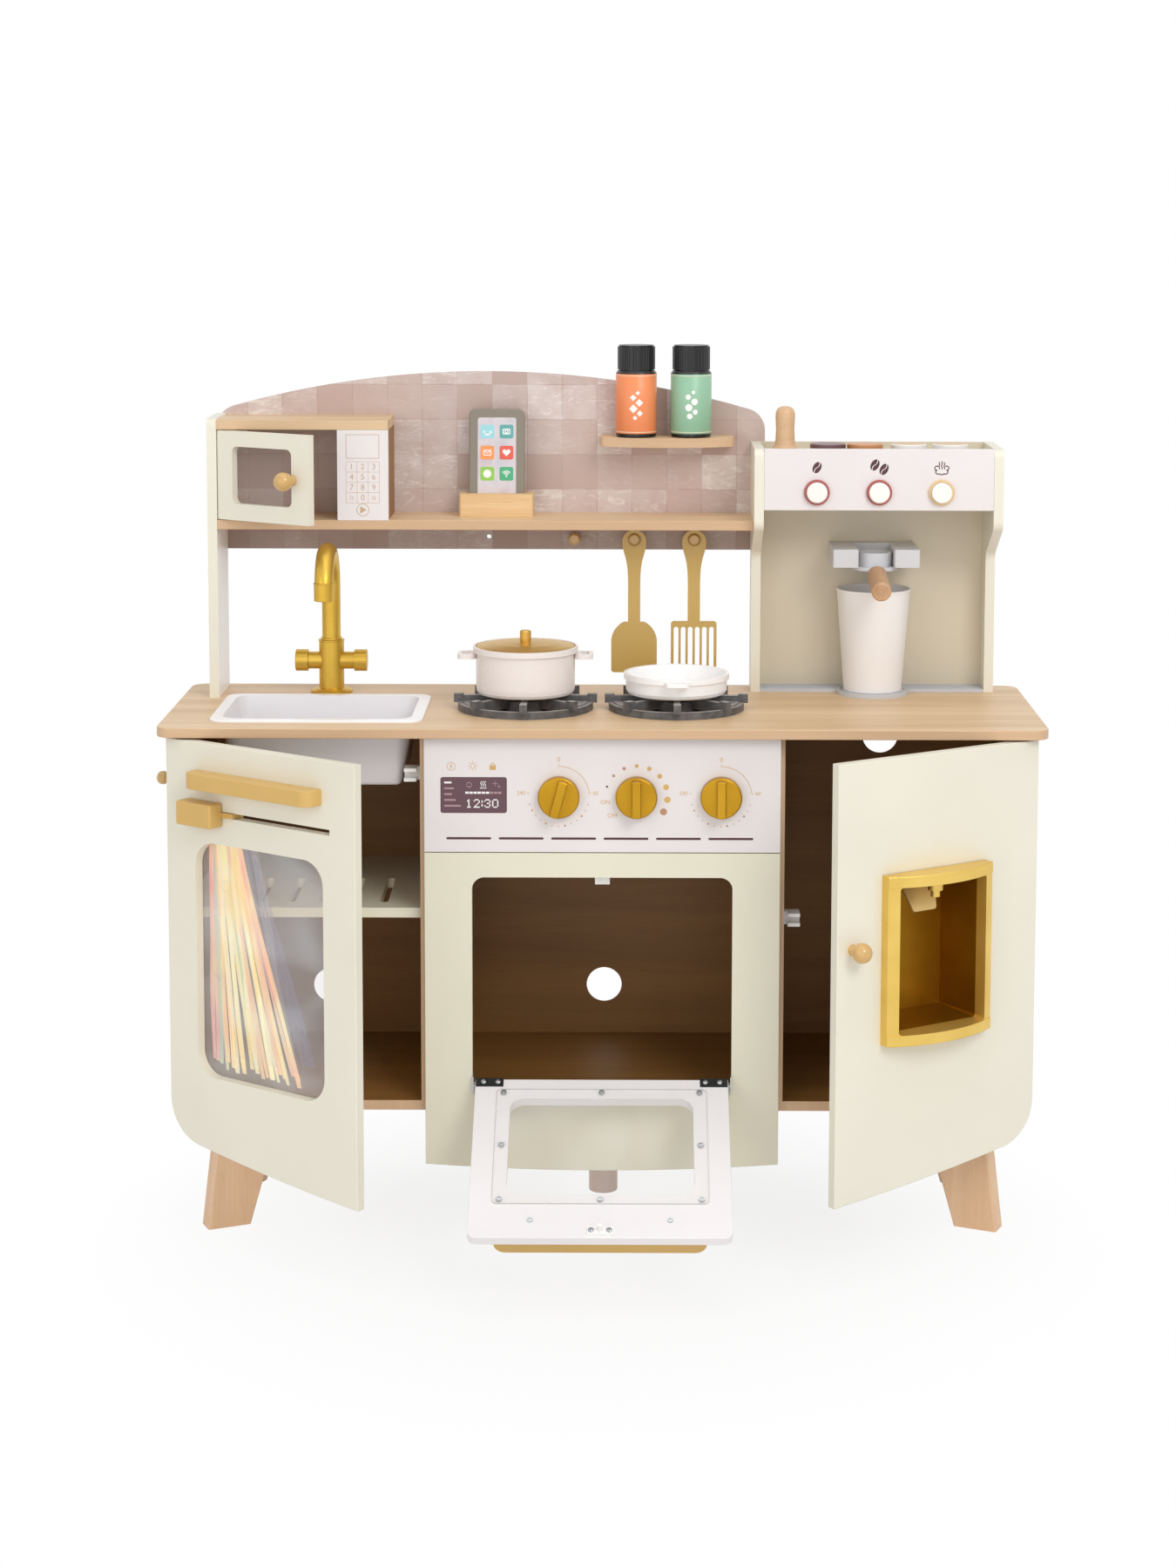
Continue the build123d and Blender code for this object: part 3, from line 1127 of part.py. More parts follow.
# Phone leaning in a grooved stand
PHONE_X = -138
STAND_Y = (COUNTER_FRONT + 261, COUNTER_FRONT + 297)
PHONE_LEAN = math.radians(8)
phone_plane = Plane(
    origin=(PHONE_X, STAND_Y[0] + 12, SHELF_TOP + 8),
    x_dir=(1, 0, 0),
    z_dir=(0, -math.cos(PHONE_LEAN), math.sin(PHONE_LEAN)),
)
with BuildPart() as phone_stand:
    block((PHONE_X - 47, PHONE_X + 47), STAND_Y, (SHELF_TOP, SHELF_TOP + 29))
    fillet(phone_stand.edges().filter_by(Axis.Z), 3)
    ease([phone_stand.faces().sort_by(Axis.Z)[-1]], 1)
    slab(phone_plane.offset(GAP), (-48, 48), (-GAP, 60), -9 - 2 * GAP, Mode.SUBTRACT)
pieces["phone_stand"] = phone_stand

with BuildPart() as phone:
    slab(phone_plane, (-35.5, 35.5), (0, 129), -9, radius=8)
    lean_axis = Axis((0, 0, 0), phone_plane.z_dir)
    fillet(phone.faces().sort_by(lean_axis)[-1].edges() + phone.faces().sort_by(lean_axis)[0].edges(), 2)
pieces["phone"] = phone

# Every piece gets its name and is written out
os.makedirs("parts", exist_ok=True)
for name, piece in pieces.items():
    piece.part.label = name
    export_step(piece.part, "parts/" + name + ".step")
print(len(pieces), "pieces")
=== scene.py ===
import random
from math import cos, pi, radians, sin

import bmesh
import bpy
from mathutils import Matrix, Vector

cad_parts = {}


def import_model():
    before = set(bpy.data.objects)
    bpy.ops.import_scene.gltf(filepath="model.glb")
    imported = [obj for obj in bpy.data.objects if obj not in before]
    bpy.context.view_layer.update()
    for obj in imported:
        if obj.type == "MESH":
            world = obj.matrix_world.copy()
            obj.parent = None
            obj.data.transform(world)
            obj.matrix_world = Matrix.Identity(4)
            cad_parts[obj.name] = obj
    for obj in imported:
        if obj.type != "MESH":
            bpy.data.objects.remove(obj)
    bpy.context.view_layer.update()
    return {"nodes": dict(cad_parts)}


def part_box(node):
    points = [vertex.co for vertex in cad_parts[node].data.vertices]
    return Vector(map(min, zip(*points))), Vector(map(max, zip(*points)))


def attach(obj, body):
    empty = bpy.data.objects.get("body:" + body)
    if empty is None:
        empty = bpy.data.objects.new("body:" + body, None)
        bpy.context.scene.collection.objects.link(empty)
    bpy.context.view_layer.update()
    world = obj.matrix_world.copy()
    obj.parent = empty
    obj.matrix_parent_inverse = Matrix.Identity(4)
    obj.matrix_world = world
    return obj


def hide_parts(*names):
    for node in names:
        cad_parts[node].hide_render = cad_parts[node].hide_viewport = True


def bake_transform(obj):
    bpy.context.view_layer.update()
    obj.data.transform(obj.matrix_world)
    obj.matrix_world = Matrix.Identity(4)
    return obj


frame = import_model()
nodes = frame["nodes"]

# Lengths below are in millimetres and turned into metres by MM
MM = 0.001

# Levels and depths that the printed and added pieces share with the frame
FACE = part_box("control_panel")[0].y / MM
SHELF_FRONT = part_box("microwave_keypad")[0].y / MM
COUNTER_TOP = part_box("countertop")[1].z / MM
SHELF_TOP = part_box("microwave_keypad")[0].z / MM
COFFEE_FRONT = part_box("coffee_housing")[0].y / MM
COFFEE_MIDDLE = 344

# Degrees that the doors stand open in the photograph
LEFT_OPEN = 36
RIGHT_OPEN = 33
OVEN_OPEN = 120
MICROWAVE_OPEN = 33

# The doors' hinge lines, and how far from them the leaves' outer and inner faces lie
HINGE_X = 518.4
HINGE_Y = -33.15
DOOR_OUT = 12.15
DOOR_IN = 0.15
OVEN_PIN = (0, FACE - 2.6, 203)
OVEN_INNER = -14.6
MICROWAVE_HINGE = (-482.5, SHELF_FRONT + 5.5, 0)
MICROWAVE_HALF = 5


def srgb(red, green, blue):
    """A colour written with 0 to 255 per channel, as the linear value that the shaders take."""
    made = []
    for value in (red, green, blue):
        share = value / 255
        made.append(share / 12.92 if share <= 0.04045 else ((share + 0.055) / 1.055) ** 2.4)
    return (*made, 1)


def swung(degrees):
    """The direction that an upright leaf faces when it has turned this far from the front."""
    turn = radians(degrees)
    return Vector((sin(turn), -cos(turn), 0))


# Materials; the makers take their tones with 0 to 255 per channel


class Look:
    """One procedural material: helpers add nodes and link them."""

    def __init__(self, name, roughness=0.5, metallic=0.0):
        self.material = bpy.data.materials.new(name)
        self.material.use_nodes = True
        self.tree = self.material.node_tree
        self.shader = self.tree.nodes["Principled BSDF"]
        self.feed(self.shader, {"Roughness": roughness, "Metallic": metallic})
        self.place = self.node("ShaderNodeTexCoord").outputs["Object"]

    def feed(self, node, inputs):
        """Sets a node's inputs to numbers or colours, or links them to other nodes' outputs."""
        for key, value in inputs.items():
            if isinstance(value, (int, float, tuple)):
                node.inputs[key].default_value = value
            else:
                self.tree.links.new(value, node.inputs[key])

    def node(self, kind, inputs=None, **settings):
        made = self.tree.nodes.new(kind)
        for key, value in settings.items():
            setattr(made, key, value)
        self.feed(made, inputs or {})
        return made

    def stretched(self, scale, turn=(0, 0, 0), shift=(0, 0, 0)):
        """The place, scaled along each axis."""
        inputs = {"Scale": scale, "Rotation": turn, "Location": shift, "Vector": self.place}
        return self.node("ShaderNodeMapping", inputs).outputs["Vector"]

    def even(self, scale):
        """The place, scaled alike along every axis."""
        return self.stretched((scale, scale, scale))

    def noise(self, where, detail=4.0, rough=0.5, distortion=0.0):
        inputs = {"Scale": 1.0, "Detail": detail, "Roughness": rough, "Distortion": distortion}
        return self.node("ShaderNodeTexNoise", {**inputs, "Vector": where}).outputs["Fac"]

    def ramp(self, factor, stops):
        """A colour ramp: stops are (place, colour)."""
        made = self.node("ShaderNodeValToRGB", {"Fac": factor})
        ramp = made.color_ramp
        while len(ramp.elements) < len(stops):
            ramp.elements.new(0.5)
        for element, (position, colour) in zip(ramp.elements, stops):
            element.position = position
            element.color = colour
        return made.outputs["Color"]

    def spread(self, factor, low=0.0, high=1.0, least=0.0, most=1.0):
        """A factor between low and high on its scale, turned into one between least and most."""
        inputs = {"Value": factor, "From Min": low, "From Max": high, "To Min": least, "To Max": most}
        return self.node("ShaderNodeMapRange", inputs).outputs["Result"]

    def math(self, kind, first, second=0):
        return self.node("ShaderNodeMath", {0: first, 1: second}, operation=kind).outputs["Value"]

    def times(self, first, second):
        return self.math("MULTIPLY", first, second)

    def mix(self, factor, first, second):
        inputs = {0: factor, 6: first, 7: second}
        return self.node("ShaderNodeMix", inputs, data_type="RGBA").outputs[2]

    def colour(self, source):
        self.feed(self.shader, {"Base Color": source})

    def rough(self, factor, least, most):
        self.feed(self.shader, {"Roughness": self.spread(factor, least=least, most=most)})

    def bump(self, height, strength, distance=0.0004):
        inputs = {"Strength": strength, "Distance": distance, "Height": height}
        self.feed(self.shader, {"Normal": self.node("ShaderNodeBump", inputs).outputs["Normal"]})

    def finished(self, factor, least, most, strength, distance=0.0004):
        """The material, with its roughness between two values and its bumps from one factor."""
        self.rough(factor, least, most)
        self.bump(factor, strength, distance)
        return self.material


def toned(colour, share):
    """A colour made darker or paler by this share."""
    return tuple(min(1, value * share) for value in colour[:3]) + (1,)


def wood(name, light, dark, axis, pores=0.5, roughness=0.42, shift=0.0):
    """Lacquered wood: broad bands, fine grain and short pores along one axis."""
    look = Look(name, roughness)
    light, dark = srgb(*light), srgb(*dark)

    def scaled(along, across):
        """The place, scaled along the grain and across it."""
        scale = tuple(along if letter == axis else across for letter in "XYZ")
        return look.stretched(scale, shift=(shift, shift, shift))

    bands = look.noise(scaled(1.6, 26), 3, distortion=0.6)
    grain = look.noise(scaled(9, 420), 6, 0.62)
    streaks = look.noise(scaled(38, 1500), 2)
    base = look.ramp(look.spread(bands, 0.3, 0.72), ((0, light), (1, dark)))
    with_grain = look.mix(look.times(look.spread(grain, 0.42, 0.75), 0.55), base, dark)
    pore_mask = look.times(look.spread(streaks, 0.6, 0.78), pores)
    look.colour(look.mix(pore_mask, with_grain, toned(dark, 0.62)))
    return look.finished(grain, roughness - 0.06, roughness + 0.1, 0.12)


def paint(name, tone, roughness=0.38, texture=0.05, spread=0.03):
    """Sprayed paint: a slight drift of tone and a fine orange-peel surface."""
    look = Look(name, roughness)
    tone = srgb(*tone)
    stops = ((0.3, toned(tone, 1 - spread)), (0.7, toned(tone, 1 + spread * 0.6)))
    look.colour(look.ramp(look.noise(look.even(7), 3), stops))
    peel = look.noise(look.even(420), 2)
    return look.finished(peel, roughness - 0.05, roughness + 0.07, texture, 0.0002)


def lacquer(name, tone, shade, roughness=0.33, metallic=0.82):
    """Metallic lacquer with a fine flake."""
    look = Look(name, roughness, metallic)
    flake = look.noise(look.even(900), 3)
    cloud = look.noise(look.even(16), 2)
    spread = look.math("ADD", look.times(flake, 0.3), look.times(cloud, 0.7))
    look.colour(look.ramp(spread, ((0.3, srgb(*shade)), (0.7, srgb(*tone)))))
    return look.finished(flake, roughness - 0.04, roughness + 0.06, 0.02, 0.0001)


def moulded(name, tone, roughness=0.4, spread=0.03, texture=0.06):
    """Moulded plastic: a fine spark-eroded texture and a slight drift of tone."""
    look = Look(name, roughness)
    tone = srgb(*tone)
    look.colour(look.ramp(look.noise(look.even(12), 2), ((0.3, toned(tone, 1 - spread)), (0.7, tone))))
    grain = look.noise(look.even(900), 2)
    return look.finished(grain, roughness - 0.05, roughness + 0.08, texture, 0.0002)


def clear_sheet(name, tone, least, most, folds=0.0, shine=0.5, pale=(255, 255, 255)):
    """A clear sheet: a painted veil of reflected light that thickens at a slant, broad patches of painted
    glare in the pale tone, and soft folds.
    """
    look = Look(name, 0.08)
    facing = look.node("ShaderNodeLayerWeight", {"Blend": 0.35}).outputs["Facing"]
    veil = look.spread(facing, least=least, most=most)
    sweep = look.noise(look.stretched((5, 5, 11), turn=(0.5, 0.3, 0)), 1, distortion=1.2)
    fine = look.noise(look.even(260), 3)
    # Painted glare: in broad patches the sheet turns towards the pale tone and becomes less clear.
    look.colour(look.ramp(sweep, ((0.35, srgb(*tone)), (0.7, srgb(*pale)))))
    painted_glare = look.times(look.spread(sweep, 0.45, 0.8), 0.07)
    look.feed(look.shader, {"Specular IOR Level": shine, "Alpha": look.math("ADD", veil, painted_glare)})
    look.rough(fine, 0.05, 0.12)
    if folds:
        look.bump(sweep, folds, 0.004)
    return look.material


def tile_print():
    """The wall board's print: square tiles of slightly different tones, mottled, with thin joints, and a
    painted shadow below the shelf.
    """
    look = Look("tile_print", 0.5)
    pitch = 0.045
    shifted = look.stretched((1 / pitch, 1 / pitch, 1 / pitch), shift=(3.23, 0.5, -0.05))
    parts = look.node("ShaderNodeSeparateXYZ", {"Vector": shifted}).outputs
    corner = {axis: look.math("FLOOR", parts[axis]) for axis in "XZ"}
    cell = look.node("ShaderNodeCombineXYZ", corner).outputs["Vector"]
    chance = look.node("ShaderNodeTexWhiteNoise", {"Vector": cell}, noise_dimensions="3D").outputs["Value"]
    tones = (
        (0, srgb(184, 160, 150)), (0.3, srgb(195, 173, 164)),
        (0.6, srgb(205, 188, 181)), (1, srgb(218, 206, 201)),
    )
    tile = look.ramp(chance, tones)
    cloud = look.noise(look.even(34), 6, 0.6)
    clouded = look.mix(look.times(look.spread(cloud, 0.4, 0.7), 0.5), tile, srgb(190, 163, 156))
    scratch = look.noise(look.stretched((46, 46, 150), turn=(0, 0.12, 0)), 5, 0.66, 1.4)
    worn = look.times(look.spread(scratch, 0.53, 0.63), look.spread(chance, 0.3, 0.9))
    flecked = look.mix(look.times(worn, 0.75), clouded, srgb(236, 228, 223))
    lines = []
    for axis in "XZ":
        share = look.math("FRACT", parts[axis])
        middle = look.math("ABSOLUTE", look.math("SUBTRACT", share, 0.5))
        lines.append(look.spread(middle, 0.478, 0.494))
    broken = look.times(look.math("MAXIMUM", *lines), look.spread(cloud, 0.35, 0.6))
    jointed = look.mix(look.times(broken, 0.6), flecked, srgb(168, 140, 132))
    # Painted shadow: below the shelf the print darkens towards brown, standing in for the shelf's shadow.
    height = look.node("ShaderNodeSeparateXYZ", {"Vector": look.place}).outputs["Z"]
    shelf_shadow = look.spread(height, SHELF_TOP * MM, (SHELF_TOP - 14) * MM)
    look.colour(look.mix(look.times(shelf_shadow, 0.5), jointed, srgb(120, 96, 86)))
    return look.finished(cloud, 0.42, 0.58, 0.04)


def worn_plastic(name, low, high, dust):
    """The grates' dark plastic, with paler dusting in patches."""
    look = Look(name, 0.42)
    cloud = look.noise(look.even(90), 5)
    fine = look.noise(look.even(900), 3)
    base = look.ramp(cloud, ((0.35, srgb(*low)), (0.75, srgb(*high))))
    look.colour(look.mix(look.times(look.spread(fine, 0.6, 0.85), 0.5), base, srgb(*dust)))
    return look.finished(fine, 0.34, 0.56, 0.1)


def film_look(name, tones, alpha=0.9, glow=0.24):
    """Iridescent film: its tone drifts along a strip under a crumpled gloss, it is partly see-through, and
    it glows in its own tone as painted light.
    """
    look = Look(name, 0.16)
    drift = look.noise(look.stretched((30, 30, 5)), 2, distortion=0.8)
    stops = [(0.34 + 0.32 * index / (len(tones) - 1), srgb(*tone)) for index, tone in enumerate(tones)]
    tone = look.ramp(drift, stops)
    look.colour(tone)
    # Painted light: the film glows faintly in its own tone, though it is no lamp.
    look.feed(look.shader, {"Emission Color": tone, "Emission Strength": glow})
    look.feed(look.shader, {"Alpha": alpha, "Coat Weight": 0.4})
    crumple = look.noise(look.stretched((240, 240, 30)), 3)
    return look.finished(crumple, 0.08, 0.3, 0.3, 0.001)


def glossy(material):
    """The same material under a clear coat."""
    shader = material.node_tree.nodes["Principled BSDF"]
    shader.inputs["Coat Weight"].default_value = 0.7
    shader.inputs["Coat Roughness"].default_value = 0.08
    return material


looks = {
    "counter": wood("counter_wood", (232, 203, 165), (209, 175, 134), "X", 0.35),
    "edge": wood("edge_band", (221, 187, 151), (203, 166, 129), "X", 0.25, shift=0.7),
    "upright_edge": wood("divider_band", (220, 186, 150), (202, 166, 130), "Z", 0.25),
    "leg": wood("leg_wood", (243, 205, 166), (224, 182, 142), "Z", 0.6),
    # The centre foot: the leg wood painted paler and pinker, as painted light.
    "foot": wood("foot_wood_lit", (254, 228, 208), (246, 212, 188), "Z", 0.4),
    "pale": wood("stand_wood", (240, 208, 160), (206, 162, 104), "X", 0.5),
    "turned": wood("turned_wood", (226, 190, 150), (206, 166, 124), "Z", 0.4),
    "grip": wood("grip_wood", (216, 176, 138), (178, 134, 96), "Y", 0.7),
    "inside": wood("inside_brown", (156, 110, 54), (138, 96, 44), "X", 0.5, 0.5),
    "inside_upright": wood("inside_brown_upright", (154, 108, 52), (136, 94, 42), "Z", 0.5, 0.5),
    "rear": wood("rear_board", (150, 116, 82), (128, 97, 66), "Z", 0.5, 0.7),
    "cream": paint("cream_paint", (233, 228, 211)),
    "oven_cream": paint("oven_cream_paint", (228, 223, 201)),
    "warm": paint("coffee_back_paint", (217, 206, 184)),
    "white": paint("white_paint", (231, 224, 223)),
    # The upright's inner face: its own white paint, painted paler still as painted light on the side facing
    # +X.
    "lit_white": paint("white_inner_paint_lit", (253, 252, 250)),
    "door_white": paint("door_white_paint", (240, 236, 236)),
    "handle": paint("handle_paint", (214, 175, 101), 0.4, 0.06, 0.05),
    "ball": glossy(paint("ball_paint", (208, 166, 96), 0.3, 0.03, 0.05)),
    "peg": glossy(paint("peg_paint", (186, 144, 62), 0.34, 0.03, 0.05)),
    "tool": paint("tool_paint", (203, 169, 92), 0.34, 0.06, 0.04),
    "gold": lacquer("gold_lacquer", (224, 187, 84), (203, 163, 58), 0.36, metallic=0.72),
    "gold_deep": lacquer("gold_deep", (172, 126, 26), (146, 102, 14), 0.4),
    "gold_frame": lacquer("gold_frame", (238, 204, 110), (222, 184, 86), 0.36, metallic=0.6),
    "gold_flat": lacquer("gold_lid", (222, 184, 98), (204, 163, 80), 0.34),
    "gold_pale": lacquer("gold_pale", (232, 202, 138), (220, 188, 120), 0.34, metallic=0.5),
    "knob": lacquer("knob_gold", (198, 152, 38), (174, 128, 22), 0.32),
    "ware": moulded("white_ware", (252, 251, 251), 0.26, 0.02, 0.03),
    "cup_ware": moulded("cup_ware", (242, 239, 237), 0.3, 0.02, 0.03),
    "pot_ware": moulded("pot_ware", (238, 230, 226), 0.26, 0.02, 0.03),
    "sink": moulded("sink_white", (251, 249, 249), 0.3, 0.02, 0.03),
    # The bowl's inside: the sink's white made greyer, as painted shade in the hollow.
    "sink_bowl_shaded": moulded("sink_bowl_white_shaded", (234, 231, 233), 0.3, 0.02, 0.03),
    "grey": moulded("machine_grey", (212, 212, 215), 0.42),
    "grey_dark": moulded("tray_grey", (200, 201, 204), 0.4),
    "black": moulded("cap_black", (11, 11, 13), 0.26, 0.1),
    "grate": worn_plastic("grate_dark", (72, 71, 72), (108, 106, 106), (142, 142, 144)),
    # Upward faces: the same dusty plastic in paler tones, as painted sheen where light falls on the tops.
    "grate_lit_top": worn_plastic("grate_dusty_lit_top", (138, 132, 128), (172, 164, 158), (198, 191, 185)),
    "catch": moulded("catch_white", (248, 246, 243), 0.35),
    "zinc": lacquer("zinc", (206, 208, 210), (168, 170, 173), 0.28, metallic=0.95),
    "steel_black": lacquer("black_steel", (62, 66, 64), (40, 43, 42), 0.4, metallic=0.7),
    "phone": paint("phone_taupe", (134, 126, 112), 0.42),
    "window": clear_sheet("window_clear", (240, 228, 224), 0.16, 0.26, 0.2),
    "pane": clear_sheet("oven_pane", (236, 232, 220), 0.04, 0.1, 0, 0.25),
    "pane_edge": moulded("pane_edge", (196, 196, 194), 0.3),
    "smoke": clear_sheet("microwave_pane", (170, 154, 146), 0.16, 0.3, 0, 0.25, (178, 164, 158)),
    "tile": tile_print(),
    "film_yellow": film_look("film_yellow", ((253, 240, 160), (254, 248, 206), (252, 230, 138))),
    "film_peach": film_look("film_peach", ((253, 226, 160), (252, 206, 146), (253, 238, 176))),
    "film_pink": film_look("film_pink", ((248, 190, 160), (246, 172, 158), (252, 220, 166))),
    "film_mint": film_look("film_mint", ((226, 238, 186), (206, 230, 206), (244, 244, 184)), 0.7),
    "film_violet": film_look("film_violet", ((104, 98, 150), (128, 112, 158), (90, 104, 160)), 0.42, 0),
    "film_veil": film_look("film_veil", ((244, 238, 240), (232, 232, 242), (250, 243, 230)), 0.16, 0.1),
}


def paints(roughness, **tones):
    """Paints of one roughness, each named as its look."""
    for name, tone in tones.items():
        looks[name] = paint(name, tone, roughness)


paints(
    0.45,
    print_plum=(98, 66, 76), print_gold=(208, 168, 102), print_key=(196, 166, 134),
    print_rose=(184, 138, 120), print_brown=(186, 140, 104), print_dark=(78, 40, 44),
    print_mute=(172, 140, 144),
)
paints(0.4, print_white=(244, 242, 240), pod_tan=(214, 180, 140))
paints(0.3, bezel_red=(172, 84, 78), bezel_gold=(224, 190, 136), cap_cream=(244, 241, 235))
paints(0.35, pod_plum=(112, 78, 80), pod_orange=(200, 138, 88), pod_white=(240, 237, 233))
paints(0.34, label_orange=(242, 144, 92), label_green=(148, 192, 161), label_line=(236, 220, 196))


# Materials of the frame's own pieces

# Where the rules split a node: across the object, in depth or in height
BOARD_EDGE_DEPTH = -32
OUTER_SIDE = 518.9
SIDE_CATCH_NEAR = 200
SIDE_CATCH_FAR = 250
CATCH_DEPTH = -30
OVEN_CATCH_HALF = 20
OVEN_LEAF_DEPTH = -72
OVEN_STRIKE_DEPTH = -235
GRIP_DEPTH = 156
MICROWAVE_TOP_LEVEL = 985
GOLD_BEZEL_SIDE = 390
CENTRE_FOOT_HALF = 30
COFFEE_BACK_HALF = 144
COFFEE_BACK_DEPTH = 200
POD_GAPS = (306, 356, 410)
WHITE_PODS = (384, 437)
POD_LID = 20


def dress(node, *names, rule=None):
    """Gives a node its looks; rule(centre in millimetres, normal) picks one by number, True as 1."""
    mesh = nodes[node].data
    mesh.materials.clear()
    for name in names:
        mesh.materials.append(looks[name])
    for polygon in mesh.polygons:
        polygon.material_index = int(rule(polygon.center / MM, polygon.normal)) if rule else 0


def facing(axis, least):
    """A rule with the second look where a face points this far along an axis."""
    return lambda centre, normal: getattr(normal, axis) > least


def counter_rule(centre, normal):
    if normal.z > 0.7:
        return 0
    return 2 if normal.z < -0.9 else 1


def boards_rule(centre, normal):
    if normal.y < -0.9 and centre.y < BOARD_EDGE_DEPTH:
        return 2
    if abs(centre.x) > OUTER_SIDE:
        return 3
    return 0 if abs(normal.x) > 0.5 else 1


def fixed_metal_rule(centre, normal):
    """The three catches are white; hinges, pins and brackets are zinc."""
    if centre.z > SHELF_TOP - 1:
        return 0
    is_side_catch = centre.y > CATCH_DEPTH and SIDE_CATCH_NEAR < abs(centre.x) < SIDE_CATCH_FAR
    return is_side_catch or abs(centre.x) < OVEN_CATCH_HALF


def strike_rule(middle):
    """A side door's strike, which stands about this place across, is white."""
    return lambda centre, normal: abs(centre.x - middle) < 60


def oven_metal_rule(centre, normal):
    """Black hinge leaves at the sill, a white strike at the free edge, and zinc screws."""
    if centre.y > OVEN_LEAF_DEPTH:
        return 0
    return 2 if centre.y < OVEN_STRIKE_DEPTH and abs(centre.x) < OVEN_CATCH_HALF else 1


def bezel_rule(centre, normal):
    if centre.y > COFFEE_FRONT - 0.1:
        return 0
    return 2 if centre.x > GOLD_BEZEL_SIDE else 1


def portafilter_rule(centre, normal):
    return centre.y < GRIP_DEPTH


def microwave_rule(centre, normal):
    """The knob is what stands in front of the door's face."""
    reach = (centre - Vector(MICROWAVE_HINGE)).dot(swung(-MICROWAVE_OPEN))
    return reach > MICROWAVE_HALF + 0.2


def coffee_rule(centre, normal):
    """The inner face of the housing's back is warmer in tone."""
    is_back = normal.y < -0.9 and centre.y > COFFEE_BACK_DEPTH
    return is_back and abs(centre.x - COFFEE_MIDDLE) < COFFEE_BACK_HALF


def dispenser_rule(centre, normal):
    """The tub behind the door's face is deeper in tone."""
    reach = (centre - Vector((HINGE_X, HINGE_Y, 0))).dot(swung(RIGHT_OPEN))
    return reach < DOOR_OUT + 2


def pod_rule(centre, normal):
    """Plum, orange and two white capsules from left to right; the white ones have a tan lid."""
    number = sum(centre.x >= gap for gap in POD_GAPS)
    if number < 2:
        return number
    on_lid = normal.z > 0.9 and abs(centre.x - WHITE_PODS[number - 2]) < POD_LID
    return 3 if on_lid else 2


def case_rule(centre, normal):
    return centre.z <= MICROWAVE_TOP_LEVEL


def sink_rule(centre, normal):
    """The bowl's inside, a greyer copy of the sink's white as painted shade; the rim is brighter."""
    return centre.z < COUNTER_TOP + 1


# Nodes of one look each
PLAIN = {
    "oven_cream": "slotted_shelf",
    "white": "control_panel microwave_keypad",
    "gold": "faucet_body faucet_spout faucet_tap_left faucet_tap_right",
    "gold_pale": "dispenser_lever",
    "gold_flat": "pot_lid",
    "cap_cream": "coffee_button_left coffee_button_middle coffee_button_right",
    "knob": "oven_knob_left oven_knob_middle oven_knob_right",
    "grey": "group_head",
    "grey_dark": "drip_tray",
    "pale": "phone_stand",
    "phone": "phone",
    "cream": "left_door right_door",
    "door_white": "oven_door",
    "handle": "left_door_handle slider_handle oven_door_handle",
    "ball": "right_door_knob",
    "pot_ware": "pot",
    "ware": "pan",
    "cup_ware": "cup",
    "turned": "tamper",
    "tool": "spatula turner",
    "black": "salt_shaker pepper_shaker",
}
for look, parts in PLAIN.items():
    for part in parts.split():
        dress(part, look)
dress("countertop", "counter", "edge", "inside", rule=counter_rule)
dress("base_boards", "inside_upright", "inside", "upright_edge", "cream", rule=boards_rule)
dress("base_back", "inside", "rear", rule=facing("y", 0.5))
# The centre foot takes the paler wood as painted light; the other legs keep the plain leg wood.
dress("legs", "leg", "foot", rule=lambda centre, normal: abs(centre.x) < CENTRE_FOOT_HALF)
dress("oven_front", "oven_cream", "inside", rule=facing("y", 0.9))
dress("sink_basin", "sink", "sink_bowl_shaded", rule=sink_rule)
dress("dispenser_housing", "gold_frame", "gold_deep", rule=dispenser_rule)
# Faces that point up take the paler plastic as painted sheen.
dress("burner_grates", "grate", "grate_lit_top", rule=facing("z", 0.9))
dress("backsplash", "tile", "rear", rule=facing("y", 0.5))
# The inner face takes the paler white: partly its own white paint, partly painted light.
dress("upright_left", "cream", "lit_white", rule=facing("x", 0.9))
dress("wood_shelves", "counter", "edge", rule=lambda centre, normal: normal.z < 0.7)
dress("microwave_case", "counter", "inside_upright", rule=case_rule)
dress("peg_hooks", "ball", "peg", rule=lambda centre, normal: centre.z > COUNTER_TOP)
dress("coffee_housing", "cream", "warm", rule=coffee_rule)
dress("coffee_front", "white", "bezel_red", "bezel_gold", rule=bezel_rule)
dress("portafilter", "grey", "grip", rule=portafilter_rule)
dress("frame_hardware", "zinc", "catch", rule=fixed_metal_rule)
dress("left_door_hardware", "zinc", "catch", rule=strike_rule(-281))
dress("right_door_hardware", "zinc", "catch", rule=strike_rule(272))
dress("oven_door_hardware", "steel_black", "zinc", "catch", rule=oven_metal_rule)
dress("microwave_door", "cream", "ball", rule=microwave_rule)
dress("coffee_pods", "pod_plum", "pod_orange", "pod_white", "pod_tan", rule=pod_rule)


# Flat shapes on a plane, in millimetres


class Flat:
    """A plane: its origin in millimetres, and its across and up directions."""

    def __init__(self, origin, across, up=(0, 0, 1)):
        self.origin = Vector(origin)
        self.across = Vector(across).normalized()
        self.up = Vector(up).normalized()
        self.out = self.across.cross(self.up)

    def at(self, x, y, w=0.0):
        return (self.origin + self.across * x + self.up * y + self.out * w) * MM


def full_turn(steps):
    return [2 * pi * step / steps for step in range(steps)]


def round_points(x, y, radius, turns):
    """Points round x, y at these angles in radians."""
    return [(x + radius * cos(turn), y + radius * sin(turn)) for turn in turns]


def mesh_of(shape, name):
    """A mesh from a bmesh, which is freed."""
    data = bpy.data.meshes.new(name)
    shape.to_mesh(data)
    shape.free()
    return data


